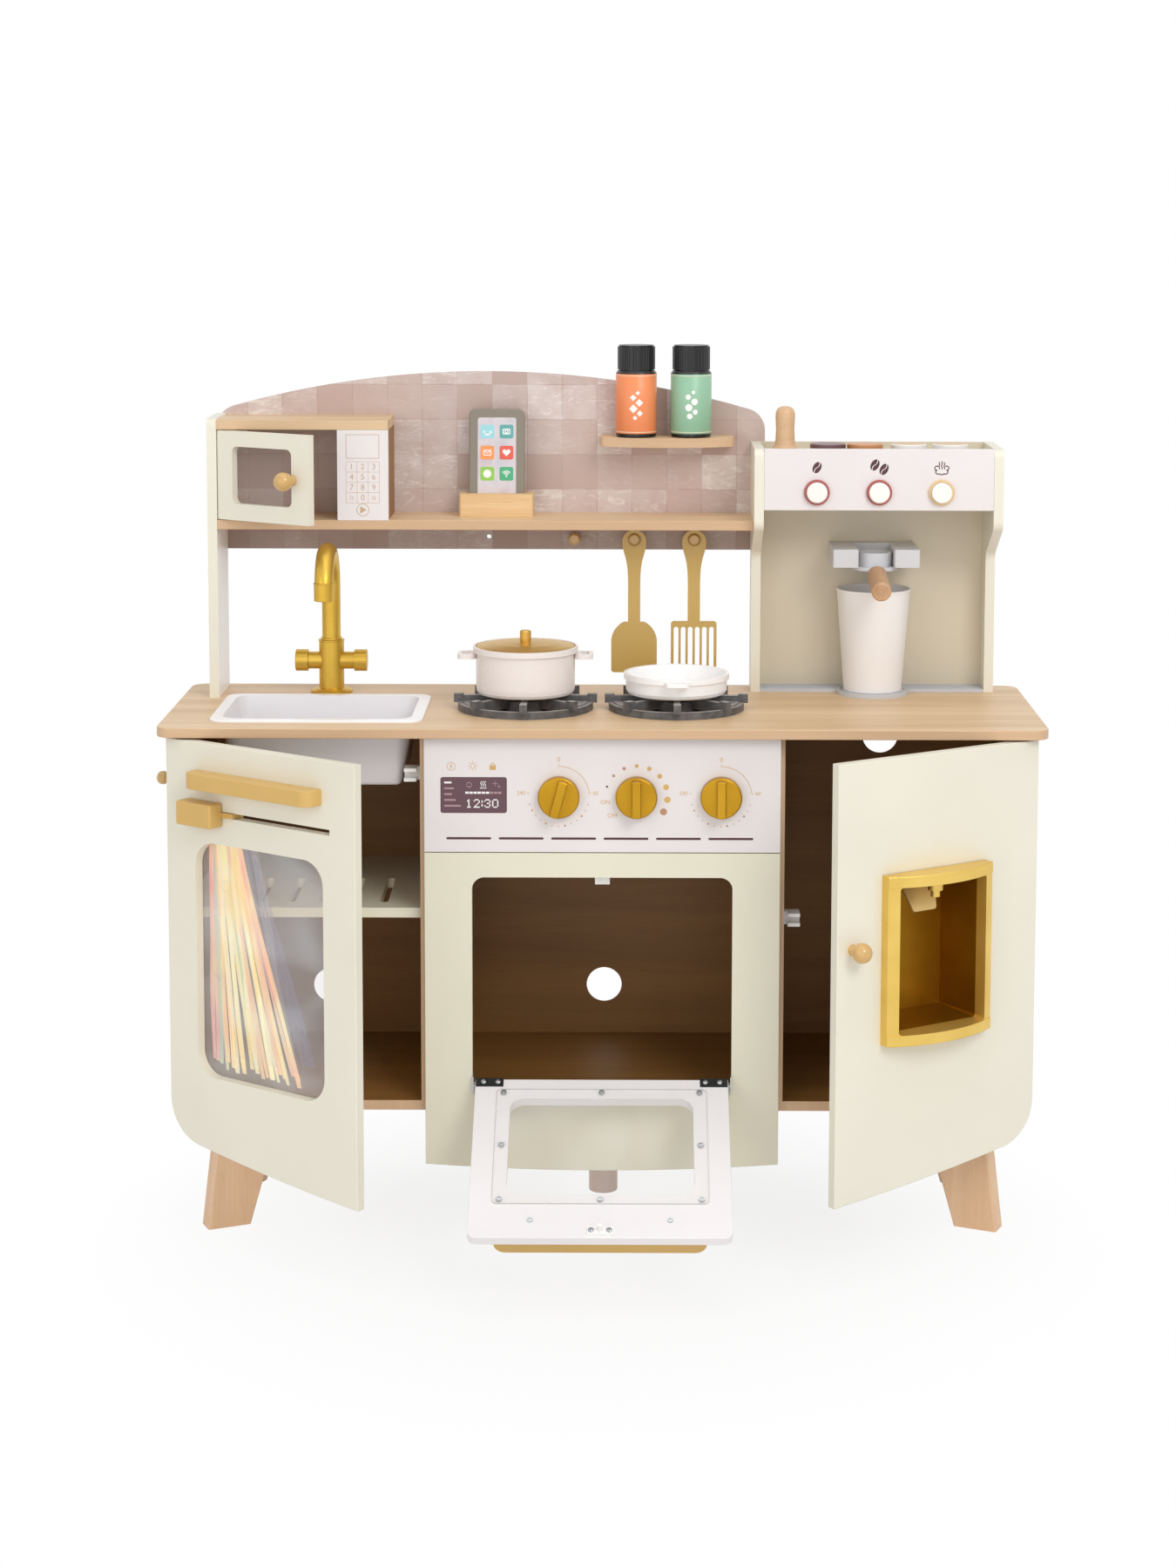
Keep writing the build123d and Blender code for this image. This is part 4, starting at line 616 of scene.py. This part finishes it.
def placed(name, data):
    """A new object, linked into the scene."""
    made = bpy.data.objects.new(name, data)
    bpy.context.scene.collection.objects.link(made)
    return made


def join_rings(shape, rings):
    """Faces between neighbouring rings that have equally many points."""
    count = len(rings[0])
    for lower, upper in zip(rings, rings[1:]):
        for step in range(count):
            after = (step + 1) % count
            shape.faces.new((lower[step], lower[after], upper[after], upper[step]))


class Print:
    """Thin shapes on a plane, gathered into one mesh."""

    def __init__(self, flat, base=0.0, thick=0.12):
        self.flat = flat
        self.low = base - 0.05
        self.high = base + thick
        self.mesh = bmesh.new()

    def rows(self, points):
        """The points' vertices on the print's low and on its high side."""
        add = self.mesh.verts.new
        return [[add(self.flat.at(x, y, depth)) for x, y in points] for depth in (self.low, self.high)]

    def outline(self, points):
        """A filled outline, anticlockwise seen from outside."""
        low, high = self.rows(points)
        self.mesh.faces.new(high)
        self.mesh.faces.new(list(reversed(low)))
        join_rings(self.mesh, (low, high))

    def band(self, inner, outer, closed=True):
        """The strip between two lists of points of equal length."""
        in_low, in_high = self.rows(inner)
        out_low, out_high = self.rows(outer)
        around = (in_high, out_high, out_low, in_low, in_high)
        count = len(inner)
        for index in range(count if closed else count - 1):
            after = (index + 1) % count
            for row, other in zip(around, around[1:]):
                self.mesh.faces.new((row[index], row[after], other[after], other[index]))
        if not closed:
            for end in (0, -1):
                self.mesh.faces.new([row[end] for row in around[:4]])

    def disc(self, x, y, radius, steps=28):
        self.outline(round_points(x, y, radius, full_turn(steps)))

    def ring(self, x, y, inner, outer, steps=40):
        turns = full_turn(steps)
        self.band(round_points(x, y, inner, turns), round_points(x, y, outer, turns))

    def arc(self, x, y, radius, start, end, width, steps=24):
        """Part of a circle's line; the angles are in degrees, anticlockwise from across."""
        turns = [radians(start + (end - start) * step / steps) for step in range(steps + 1)]
        edges = [round_points(x, y, reach, turns) for reach in (radius - width / 2, radius + width / 2)]
        self.band(*edges, closed=False)

    def line(self, start, end, width):
        along = Vector(end) - Vector(start)
        side = Vector((-along.y, along.x)).normalized() * width / 2
        corners = (Vector(start) - side, Vector(end) - side, Vector(end) + side, Vector(start) + side)
        self.outline([tuple(corner) for corner in corners])

    def path(self, points, width):
        for start, end in zip(points, points[1:]):
            self.line(start, end, width)

    def rounded(self, x0, x1, y0, y1, radius, steps=6):
        self.outline(rounded_points(x0, x1, y0, y1, radius, steps))

    def frame(self, x0, x1, y0, y1, radius, width):
        inside = rounded_points(x0 + width, x1 - width, y0 + width, y1 - width, max(radius - width, 0.1))
        self.band(inside, rounded_points(x0, x1, y0, y1, radius))

    def text(self, words, x, y, height):
        """Plain numbers or words with their middle at x, y."""
        curve = bpy.data.curves.new("words", "FONT")
        curve.body = words
        curve.size = height * 1.35
        curve.align_x = "CENTER"
        curve.align_y = "CENTER"
        curve.extrude = (self.high - self.low) / 2
        curve.resolution_u = 4
        holder = placed("words", curve)
        bpy.context.view_layer.update()
        solid = bpy.data.meshes.new_from_object(holder.evaluated_get(bpy.context.evaluated_depsgraph_get()))
        made = []
        for vertex in solid.vertices:
            depth = self.high if vertex.co.z > 0 else self.low
            place = self.flat.at(x + vertex.co.x, y + vertex.co.y, depth)
            made.append(self.mesh.verts.new(place))
        for polygon in solid.polygons:
            self.mesh.faces.new([made[index] for index in polygon.vertices])
        bpy.data.objects.remove(holder)
        bpy.data.curves.remove(curve)
        bpy.data.meshes.remove(solid)

    def done(self, name, look, body="cabinet", slot="white_paint"):
        bmesh.ops.recalc_face_normals(self.mesh, faces=self.mesh.faces)
        return add_piece(name, mesh_of(self.mesh, name), look, body)


def rounded_points(x0, x1, y0, y1, radius, steps=6):
    corners = (
        (x1 - radius, y0 + radius, -90),
        (x1 - radius, y1 - radius, 0),
        (x0 + radius, y1 - radius, 90),
        (x0 + radius, y0 + radius, 180),
    )
    points = []
    for x, y, start in corners:
        turns = [radians(start + 90 * step / steps) for step in range(steps + 1)]
        points += round_points(x, y, radius, turns)
    return points


def add_piece(name, data, look, body):
    """A mesh as a piece that rides on a body."""
    made = placed(name, data)
    data.materials.append(looks[look])
    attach(made, body)
    return made


def leaf_flat(hinge, degrees):
    """An upright leaf's plane through its hinge line, turned this far from the front."""
    out = swung(degrees)
    return Flat(hinge, (-out.y, out.x, 0))


left_back = leaf_flat((-HINGE_X, HINGE_Y, 0), -LEFT_OPEN)
panel = Flat((0, FACE, 0), (1, 0, 0))
opened = radians(OVEN_OPEN)
oven_leaf = Flat(OVEN_PIN, (1, 0, 0), (0, -sin(opened), cos(opened)))


def inner_side(flat, depth):
    """The same plane seen from behind, moved back by depth; across runs the other way."""
    return Flat(flat.origin - flat.out * depth, -flat.across, flat.up)


# Clear sheets behind the doors' openings, just off the boards


def clear_pane(name, node, flat, across, up, radius, thick, look, body):
    """A rounded sheet on the inner side of a door."""
    sheet = Print(flat, 0.15, thick - 0.15)
    sheet.rounded(-across[1], -across[0], up[0], up[1], radius)
    made = sheet.done(name, look, body, "clear_plastic")
    made.data.materials.append(looks["pane_edge"])
    for polygon in made.data.polygons:
        if abs(polygon.normal.dot(flat.out)) < 0.5:
            polygon.material_index = 1
    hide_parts(node)


def clear_panes():
    microwave = leaf_flat(MICROWAVE_HINGE, -MICROWAVE_OPEN)
    sheets = (
        ("left_door_sheet", "left_door_window", inner_side(left_back, -DOOR_IN),
         (39, 259), (215, 519), 12, 1.5, "window", "left_door_leaf"),
        ("oven_door_sheet", "oven_window", inner_side(oven_leaf, -OVEN_INNER),
         (-126.5, 126.5), (20, 198), 6, 1.5, "pane", "oven_door_leaf"),
        ("microwave_sheet", "microwave_window", inner_side(microwave, MICROWAVE_HALF),
         (16, 123.5), (888, 972), 5, 1.2, "smoke", "microwave_leaf"),
    )
    for sheet in sheets:
        clear_pane(*sheet)


# Prints on the control panel

PIXELS = {
    "0": (".###.", "#...#", "#...#", "#...#", "#...#", "#...#", ".###."),
    "1": ("..#..", ".##..", "..#..", "..#..", "..#..", "..#..", ".###."),
    "2": (".###.", "#...#", "....#", "...#.", "..#..", ".#...", "#####"),
    "3": (".###.", "#...#", "....#", "..##.", "....#", "#...#", ".###."),
    ":": (".", "#", "#", ".", "#", "#", "."),
}


def panel_prints():
    knob_level = 560.5
    display = Print(panel)
    display.rounded(-195, -115, 540, 584, 3)
    display.done("panel_display", "print_plum")
    slots = Print(panel)
    for index in range(6):
        left = -188 + index * 63.2
        slots.rounded(left, left + 54, 507.6, 510.4, 1.3)
    slots.done("panel_slot_lines", "print_dark")

    lit = Print(panel, 0.12)
    mute = Print(panel, 0.12)
    pixel = 1.5
    left = -164.5
    for digit in "12:30":
        for row, dots in enumerate(PIXELS[digit]):
            for column, dot in enumerate(dots):
                if dot == "#":
                    x = left + column * pixel
                    y = 557 - row * pixel
                    lit.rounded(x, x + pixel * 0.98, y - pixel * 0.98, y, 0.15, 2)
        left += (len(PIXELS[digit][0]) + 1.3) * pixel
    for index in range(9):
        left = -165 + index * 4.9
        bar = lit if index < 6 else mute
        bar.rounded(left, left + 4.1, 563.6, 566.2, 0.4)
    for index, width in enumerate((9, 12, 9.5, 14, 20)):
        row = lit if index == 0 else mute
        row.rounded(-190.5, -190.5 + width, 576.2 - index * 7.1, 578.4 - index * 7.1, 0.8)
    for shift in (-2.4, 0, 2.4):
        points = [(-143.5 + shift + 0.7 * sin(step * 1.3), 572.5 + step * 1.1) for step in range(7)]
        lit.path(points, 0.8)
    lit.line((-147.5, 570.6), (-139.5, 570.6), 0.9)
    mute.arc(-160.5, 574.5, 3, -10, 190, 0.8)
    mute.line((-164, 572.6), (-157, 572.6), 0.8)
    mute.disc(-160.5, 571, 0.8, 12)
    for x, y, size in ((-129, 576, 3.2), (-124.5, 572.5, 2.2)):
        mute.line((x - size, y), (x + size, y), 0.7)
        mute.line((x, y - size), (x, y + size), 0.7)
    lit.done("panel_display_lit", "print_white")
    mute.done("panel_display_mute", "print_mute")

    gold = Print(panel)
    gold.ring(-182, 597, 4.6, 5.3)
    gold.path([(-181, 600.4), (-183.6, 596.8), (-180.6, 597.2), (-183, 593.6)], 0.8)
    gold.ring(-156, 597.5, 2.5, 3.2, 20)
    for turn in range(0, 360, 45):
        reach = Vector((cos(radians(turn)), sin(radians(turn))))
        start = Vector((-156, 597.5)) + reach * 4.2
        gold.line(tuple(start), tuple(start + reach * 1.8), 0.7)
    gold.rounded(-135.8, -128.2, 592.6, 598.4, 1)
    gold.arc(-132, 598.4, 2.4, 0, 180, 1.0)
    rose = Print(panel)
    for x in (-52.5, 143):
        gold.text("0", x, knob_level + 45, 6)
        gold.arc(x, knob_level, 37, 8, 88, 0.7)
        gold.line((x, knob_level + 36), (x, knob_level + 40), 0.7)
        gold.line((x + 36, knob_level + 4), (x + 39, knob_level + 4), 0.7)
        gold.text("60", x + 44.5, knob_level + 4, 5)
        gold.text("240", x - 45.5, knob_level + 4, 5)
        gold.line((x - 38.5, knob_level + 4), (x - 35.5, knob_level + 4), 0.7)
        for step in range(13):
            turn = radians(-16 - step * 12.4)
            place = (x + 36.5 * cos(turn), knob_level + 36.5 * sin(turn))
            (rose if step in (2, 5, 12) else gold).disc(*place, 1.25 if step % 3 == 2 else 0.8, 12)
    gold.done("panel_prints_gold", "print_gold")
    rose.done("panel_prints_rose", "print_rose")

    middle = 41
    sizes = (1.3, 1.8, 2.1, 2.4, 2.7, 3.0, 3.5, 3.9, 4.2)
    tones = ("print_dark", "print_rose", "print_rose", "print_gold", "print_gold", "print_gold",
             "handle", "handle", "print_brown")
    dots = {}
    for index, (size, tone) in enumerate(zip(sizes, tones)):
        turn = radians(161 - index * 23.8)
        dots.setdefault(tone, Print(panel))
        dots[tone].disc(middle + 37.5 * cos(turn), knob_level + 37.5 * sin(turn), size)
    for tone, dot in dots.items():
        dot.done("panel_dots_" + tone, tone)
    words = Print(panel)
    words.text("ON", middle - 37.5, knob_level - 7, 5.4)
    words.text("OFF", middle - 28.5, knob_level - 23.5, 5.4)
    words.done("panel_on_off", "print_gold")


# Prints on the microwave's keypad


def keypad_prints():
    keypad = Flat((-304, SHELF_FRONT, 0), (1, 0, 0))
    lines = Print(keypad)
    lines.frame(-21, 21, 950, 980.5, 0.6, 0.7)
    column = 14
    row = 13
    top = 946
    for index in range(5):
        lines.line((-21, top - index * row), (21, top - index * row), 0.45)
    for index in range(4):
        lines.line((-21 + index * column, top), (-21 + index * column, top - 4 * row), 0.45)
    for index, digit in enumerate("123456789 0 "):
        x = -14 + (index % 3) * column
        y = top - (index // 3 + 0.5) * row
        if digit != " ":
            lines.text(digit, x, y, 7.6)
    for side in (-1, 1):
        lines.ring(side * 14, top - 3.5 * row, 1.6, 2.3, 16)
    lines.outline([(-3.4, 880.6), (4.6, 885.2), (-3.4, 889.8)])
    lines.ring(0, 885.2, 7.2, 8.0)
    lines.done("keypad_prints", "print_key")


# Signs above the coffee buttons


def bean(shape, x, y, size, lean):
    """A coffee bean: two halves with a curved gap between them."""
    turn = radians(lean)
    for side in (-1, 1):
        points = []
        for step in range(13):
            angle = pi * step / 12 - pi / 2
            points.append((side * (0.62 * size * cos(angle) + 0.07 * size), size * sin(angle)))
        for step in range(9):
            share = 1 - 2 * (step + 0.5) / 9
            curl = 0.17 * size * sin(share * pi)
            points.append((curl + side * 0.07 * size, size * share * 0.96))
        turned = [
            (x + a * cos(turn) - b * sin(turn), y + a * sin(turn) + b * cos(turn))
            for a, b in points
        ]
        shape.outline(turned if side > 0 else list(reversed(turned)))


def coffee_signs():
    signs = Print(Flat((COFFEE_MIDDLE, COFFEE_FRONT, 0), (1, 0, 0)))
    bean(signs, -78, 942, 7.4, -28)
    bean(signs, -5.6, 945.5, 7.4, -28)
    bean(signs, 5.8, 940, 7.4, -28)
    middle = 78
    for shift, height in ((-3.2, 9), (0, 10), (3.2, 9)):
        wave = [middle + shift + 0.6 * sin(step * 1.4) for step in range(9)]
        signs.path([(x, 940.4 + height * step / 8) for step, x in enumerate(wave)], 1.2)
    signs.arc(middle, 936.4, 3, 205, 335, 1.3, 14)
    for side in (-1, 1):
        for x, y, radius, start, end in ((6, 941.6, 2.8, -95, 130), (4.6, 937.2, 3, -125, 60)):
            if side < 0:
                start, end = 180 - end, 180 - start
            signs.arc(middle + side * x, y, radius, start, end, 1.3, 14)
    signs.done("coffee_signs", "print_dark")


# Film strips behind the left door's window

FILM_TOP = 544
FILM_TONES = ("film_yellow", "film_peach", "film_pink", "film_mint", "film_violet", "film_veil")


def film_strip(shape, top, foot, low, width, depth, tone, bow, phase, sway=1.5):
    """One strip from the slider at u = top to its loose end at u = foot and z = low."""
    steps = 26
    edges = []
    for step in range(steps + 1):
        along = step / steps
        z = FILM_TOP + (low - FILM_TOP) * along
        u = top + (foot - top) * along ** bow + sway * sin(along * 6 + phase)
        w = depth + 0.5 * sin(along * 9 + phase)
        twist = 0.3 * sin(along * 13 + phase)
        half = width / 2 * (1 - 0.15 * sin(along * 7 + phase) ** 2)
        ends = [left_back.at(u + side * half, z, w + side * twist) for side in (-1, 1)]
        edges.append([shape.verts.new(end) for end in ends])
    for before, after in zip(edges, edges[1:]):
        face = shape.faces.new((before[0], before[1], after[1], after[0]))
        face.material_index = FILM_TONES.index(tone)


def film_strips():
    random.seed(11)
    shape = bmesh.new()
    count = 24
    for index in range(count):
        share = index / (count - 1)
        tones = ("film_yellow", "film_yellow", "film_yellow", "film_peach", "film_mint")
        if share < 0.08:
            tones = ("film_pink", "film_yellow")
        elif share > 0.7:
            tones = ("film_peach", "film_peach", "film_yellow", "film_pink")
        film_strip(
            shape,
            top=56 + 42 * share + random.uniform(-3, 3),
            foot=57 + 143 * share + random.uniform(-5, 5),
            low=232 + random.uniform(-3, 10),
            width=random.uniform(5.8, 8.2),
            depth=-3.6 - 2.6 * random.random(),
            tone=random.choice(tones),
            bow=1.15,
            phase=random.uniform(0, 6),
            sway=0.8,
        )
    for index in range(5):
        low = 246 + random.uniform(0, 14)
        width = random.uniform(8, 12)
        film_strip(shape, 92 + 5 * index, 184 + 8 * index, low, width,
                   depth=-7.2, tone="film_violet", bow=1.1, phase=index)
    for index in range(5):
        low = 240 + random.uniform(0, 10)
        width = random.uniform(13, 19)
        film_strip(shape, 62 + 14 * index, 70 + 30 * index, low, width,
                   depth=-2.7, tone="film_veil", bow=1.0, phase=1.7 * index, sway=3)
    bmesh.ops.solidify(shape, geom=shape.faces[:], thickness=0.12 * MM)
    bmesh.ops.recalc_face_normals(shape, faces=shape.faces)
    made = placed("film_strips_fan", mesh_of(shape, "film_strips_fan"))
    for tone in FILM_TONES:
        made.data.materials.append(looks[tone])
    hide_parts("film_strips")
    left_back.at(120, 250)
    left_back.at(120, FILM_TOP)
    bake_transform(made)


# Phone: screen and signs


def phone_face():
    lean = radians(8)
    low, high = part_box("phone")
    middle = (low.x + high.x) / 2 / MM
    # The phone's lower front edge stands 8 above the shelf, at this depth
    origin = (middle, 213, SHELF_TOP + 8)
    front = Flat(origin, (1, 0, 0), (0, sin(lean), cos(lean)))
    screen = Print(front)
    screen.rounded(-24.5, 24.5, 14, 118, 3)
    screen.done("phone_screen", "screen", "phone", "grey_plastic")
    tones = (("icon_aqua", "icon_teal"), ("icon_orange", "icon_red"), ("icon_lime", "icon_green"))
    signs = Print(front, 0.3)
    for row, pair in enumerate(tones):
        for column, tone in enumerate(pair):
            x = -12.2 + 24.4 * column
            y = 100 - 27 * row
            plate = Print(front, 0.12)
            plate.rounded(x - 8.8, x + 8.8, y - 8.8, y + 8.8, 2.6)
            plate.done("phone_" + tone, tone, "phone", "grey_plastic")
    signs.arc(-12.2, 100, 4.2, 200, 340, 1.8)
    signs.disc(-16.2, 99, 1.7, 14)
    signs.disc(-8.2, 99, 1.7, 14)
    signs.frame(7.2, 17.2, 96.4, 103.6, 1.4, 1.4)
    signs.ring(12.2, 100, 1.2, 2.4, 16)
    signs.frame(-17.4, -7, 69.4, 76.6, 1, 1.1)
    signs.path([(-16.8, 75.8), (-12.2, 72.4), (-7.6, 75.8)], 1)
    heart = []
    for turn in full_turn(28):
        rise = sum(weight * cos(k * turn) for k, weight in ((1, 13), (2, -5), (3, -2), (4, -1)))
        heart.append((12.2 + 0.32 * 16 * sin(turn) ** 3, 73.4 + 0.32 * rise))
    signs.outline(list(reversed(heart)))
    signs.disc(-12.2, 46, 5.2)
    for radius in (2.4, 4.6, 6.8):
        signs.arc(12.2, 42.6, radius, 45, 135, 1.2, 12)
    signs.disc(12.2, 42.6, 1, 12)
    signs.done("phone_signs", "print_white", "phone", "grey_plastic")


def screen_look():
    look = Look("phone_screen", 0.3)
    drift = look.noise(look.stretched((30, 30, 22)), 2)
    tones = ((0.3, srgb(196, 182, 188)), (0.5, srgb(214, 204, 208)), (0.7, srgb(190, 192, 200)))
    look.colour(look.ramp(drift, tones))
    return look.material


looks["screen"] = screen_look()
paints(
    0.35,
    icon_aqua=(158, 214, 222), icon_teal=(96, 168, 164), icon_orange=(240, 152, 88),
    icon_red=(226, 96, 76), icon_lime=(146, 198, 84), icon_green=(76, 172, 122),
)


# Shakers: a sleeve label with a plain pictogram, and a pale line near each edge


SLEEVE_RADIUS = 26.12
BOTTLE_SKIN = 25.7


def wrapped(name, node, bottom, top, radius, look):
    """A thin tube round a shaker between two heights above its foot, closed against the bottle."""
    low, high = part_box(node)
    middle = (low + high) / 2
    shape = bmesh.new()
    rings = []
    profile = ((BOTTLE_SKIN, bottom - 0.4), (radius, bottom), (radius, top), (BOTTLE_SKIN, top + 0.4))
    for reach, level in profile:
        circle = round_points(middle.x, middle.y, reach * MM, full_turn(64))
        rings.append([shape.verts.new((x, y, low.z + level * MM)) for x, y in circle])
    join_rings(shape, rings)
    data = mesh_of(shape, name)
    for polygon in data.polygons:
        polygon.use_smooth = True
    add_piece(name, data, look, node)


def sleeve(name, node, tone, signs):
    """A label round a shaker, with a pale line near each edge and its signs in front."""
    wrapped(name, node, 4.9, 80.6, SLEEVE_RADIUS, tone)
    wrapped(name + "_line_low", node, 6.6, 7.3, SLEEVE_RADIUS + 0.08, "label_line")
    wrapped(name + "_line_high", node, 78.2, 78.9, SLEEVE_RADIUS + 0.08, "label_line")
    low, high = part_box(node)
    middle = (low + high) / 2
    marks = Print(Flat((middle.x / MM, 0, low.z / MM), (1, 0, 0)), 0, 0.12)
    signs(marks)
    for step in range(-12, 13):
        everything = marks.mesh.verts[:] + marks.mesh.edges[:] + marks.mesh.faces[:]
        cut = (middle.x + step * MM, 0, 0)
        bmesh.ops.bisect_plane(marks.mesh, geom=everything, plane_co=cut, plane_no=(1, 0, 0), dist=1e-7)
    for vertex in marks.mesh.verts:
        across = vertex.co.x - middle.x
        depth = -vertex.co.y
        radius = SLEEVE_RADIUS * MM + depth
        turn = across / (SLEEVE_RADIUS * MM)
        vertex.co.x = middle.x + radius * sin(turn)
        vertex.co.y = middle.y - radius * cos(turn)
    marks.done(name + "_signs", "print_white", node, "black_plastic")


def crystals(marks):
    """Small squares standing on a corner, for salt."""
    places = ((-4, 51, 4.2), (3.8, 44.5, 5), (-3.8, 37, 5.6), (4.4, 31, 4), (-1.6, 25.4, 3), (1.8, 57, 3))
    for x, y, size in places:
        marks.outline([(x + size, y), (x, y + size), (x - size, y), (x, y - size)])


def corns(marks):
    """Round dots, for pepper."""
    places = (
        (-4.2, 52, 3.4), (4, 46, 4.2), (-3.4, 38.6, 4.6),
        (4.8, 33, 3.2), (-2.2, 27.6, 3.6), (2.4, 58, 2.4),
    )
    for x, y, size in places:
        marks.disc(x, y, size, 24)


# Screw heads with a cross recess


def screw_heads(name, places, radius, look, body):
    """Domed heads; places are (point in millimetres, direction that the head faces)."""
    shape = bmesh.new()
    steps = 24
    profile = ((1.0, 0.0), (1.0, 0.25), (0.86, 0.42), (0.6, 0.54), (0.3, 0.6))
    for point, facing in places:
        facing = Vector(facing).normalized()
        turn = facing.to_track_quat("Z", "Y").to_matrix().to_4x4()
        turn.translation = Vector(point)
        rings = []
        for share, rise in profile:
            ring = []
            for angle in full_turn(steps):
                in_recess = share < 0.7 and abs(cos(2 * angle)) > 0.93
                place = Vector((share * cos(angle), share * sin(angle), rise)) * radius
                place.z -= 0.3 * radius if in_recess else 0.0
                ring.append(shape.verts.new(turn @ place * MM))
            rings.append(ring)
        join_rings(shape, rings)
        middle = shape.verts.new(turn @ Vector((0, 0, 0.22 * radius)) * MM)
        for step in range(steps):
            shape.faces.new((rings[-1][step], rings[-1][(step + 1) % steps], middle))
        shape.faces.new(list(reversed(rings[0])))
    bmesh.ops.recalc_face_normals(shape, faces=shape.faces)
    add_piece(name, mesh_of(shape, name), look, body)


def hardware_screws():
    """Screws of the oven door's pane, handle, hinge leaves and strike."""
    pane, leaf, strike = (OVEN_INNER - thick for thick in (1.5, 1, 2))
    seats = [(x, y, pane) for y in (26, 192) for x in (-118, 0, 118)]
    seats += [(x, 109, pane) for x in (-118, 118)]
    seats += [(x, 222, OVEN_INNER) for x in (-81, 81)]
    seats += [(x, 8.2, leaf) for x in (-143, -125.5, 125.5, 143)]
    seats += [(x, 238, strike) for x in (-10.5, 10.5)]
    places = [(oven_leaf.at(*seat) / MM, -oven_leaf.out) for seat in seats]
    screw_heads("oven_door_screws", places, 3.4, "zinc", "oven_door_leaf")


clear_panes()
hardware_screws()
panel_prints()
keypad_prints()
coffee_signs()
film_strips()
phone_face()
sleeve("salt_label", "salt_shaker", "label_orange", crystals)
sleeve("pepper_label", "pepper_shaker", "label_green", corns)


# Floor, light and camera


def seen_share(tree):
    """1 for camera, glossy and transmission rays, so that metal and glass show the white background too."""
    rays = tree.nodes.new("ShaderNodeLightPath")
    found = rays.outputs["Is Camera Ray"]
    for kind in ("Is Glossy Ray", "Is Transmission Ray"):
        either = tree.nodes.new("ShaderNodeMath")
        either.operation = "MAXIMUM"
        tree.links.new(found, either.inputs[0])
        tree.links.new(rays.outputs[kind], either.inputs[1])
        found = either.outputs["Value"]
    return found


def floor():
    """A pale floor that looks white, apart from the object's soft shadow near the middle."""
    shape = bmesh.new()
    reach = 9
    corners = [(x * reach, y * reach, 0) for x, y in ((-1, -1), (1, -1), (1, 1), (-1, 1))]
    shape.faces.new([shape.verts.new(corner) for corner in corners])
    made = placed("floor", mesh_of(shape, "floor"))
    look = Look("floor_white", 0.9)
    look.colour((0.84, 0.84, 0.84, 1))
    glow = look.node("ShaderNodeEmission", {"Strength": 1.0})
    away = look.node("ShaderNodeVectorMath", {0: look.place}, operation="LENGTH")
    fade = look.spread(away.outputs["Value"], 0.3, 0.66, 0.84, 1.0)
    share = look.times(seen_share(look.tree), fade)
    sources = {0: share, 1: look.shader.outputs["BSDF"], 2: glow.outputs["Emission"]}
    blend = look.node("ShaderNodeMixShader", sources)
    look.feed(look.tree.nodes["Material Output"], {"Surface": blend.outputs["Shader"]})
    made.data.materials.append(look.material)


def world():
    """Even light on the object, and white where the camera, metal or glass sees the world."""
    made = bpy.data.worlds.new("studio")
    bpy.context.scene.world = made
    made.use_nodes = True
    tree = made.node_tree
    around = tree.nodes["Background"]
    white = tree.nodes.new("ShaderNodeBackground")
    for background, strength in ((around, 0.62), (white, 1.0)):
        background.inputs["Color"].default_value = (1, 1, 1, 1)
        background.inputs["Strength"].default_value = strength
    blend = tree.nodes.new("ShaderNodeMixShader")
    sources = (seen_share(tree), around.outputs["Background"], white.outputs["Background"])
    for socket, source in zip(blend.inputs, sources):
        tree.links.new(source, socket)
    tree.links.new(blend.outputs["Shader"], tree.nodes["World Output"].inputs["Surface"])


def area_light(name, place, aim, size, power):
    data = bpy.data.lights.new(name, "AREA")
    data.shape = "RECTANGLE"
    data.size, data.size_y = size
    data.energy = power
    made = placed(name, data)
    made.location = place
    made.rotation_mode = "QUATERNION"
    made.rotation_quaternion = (Vector(aim) - Vector(place)).to_track_quat("-Z", "Y")


# The camera fitted to the photograph: place in metres, angles in degrees
CAMERA_PLACE = (0.0316, -3.5785, 1.2841)
CAMERA_LENS = 68.52
CAMERA_SHIFT = (-0.0232, -0.16)
LOOK_DOWN = 6.526
LOOK_LEFT = 0.096
CAMERA_ROLL = 0.145


def camera():
    data = bpy.data.cameras.new("camera")
    made = placed("camera", data)
    data.sensor_width = 36
    data.lens = CAMERA_LENS
    data.shift_x, data.shift_y = CAMERA_SHIFT
    data.clip_end = 50
    made.location = CAMERA_PLACE
    aside = Matrix.Rotation(radians(LOOK_LEFT), 4, "Z")
    down = Matrix.Rotation(pi / 2 - radians(LOOK_DOWN), 4, "X")
    roll = Matrix.Rotation(radians(CAMERA_ROLL), 4, "Z")
    made.rotation_mode = "QUATERNION"
    made.rotation_quaternion = (aside @ down @ roll).to_quaternion()
    bpy.context.scene.camera = made


floor()
world()
area_light("key", (1.7, -3.0, 3.0), (0, 0, 0.5), (1.7, 1.7), 54)
area_light("fill", (-2.3, -3.2, 1.5), (0, 0, 0.5), (2.2, 2.2), 21)
area_light("front", (0.2, -4.4, 0.8), (0, 0, 0.4), (1.6, 1.2), 11)
area_light("top", (0.1, -0.4, 3.4), (0, 0, 0.5), (2.6, 2.0), 16)
camera()

bpy.context.scene.view_settings.view_transform = "Standard"
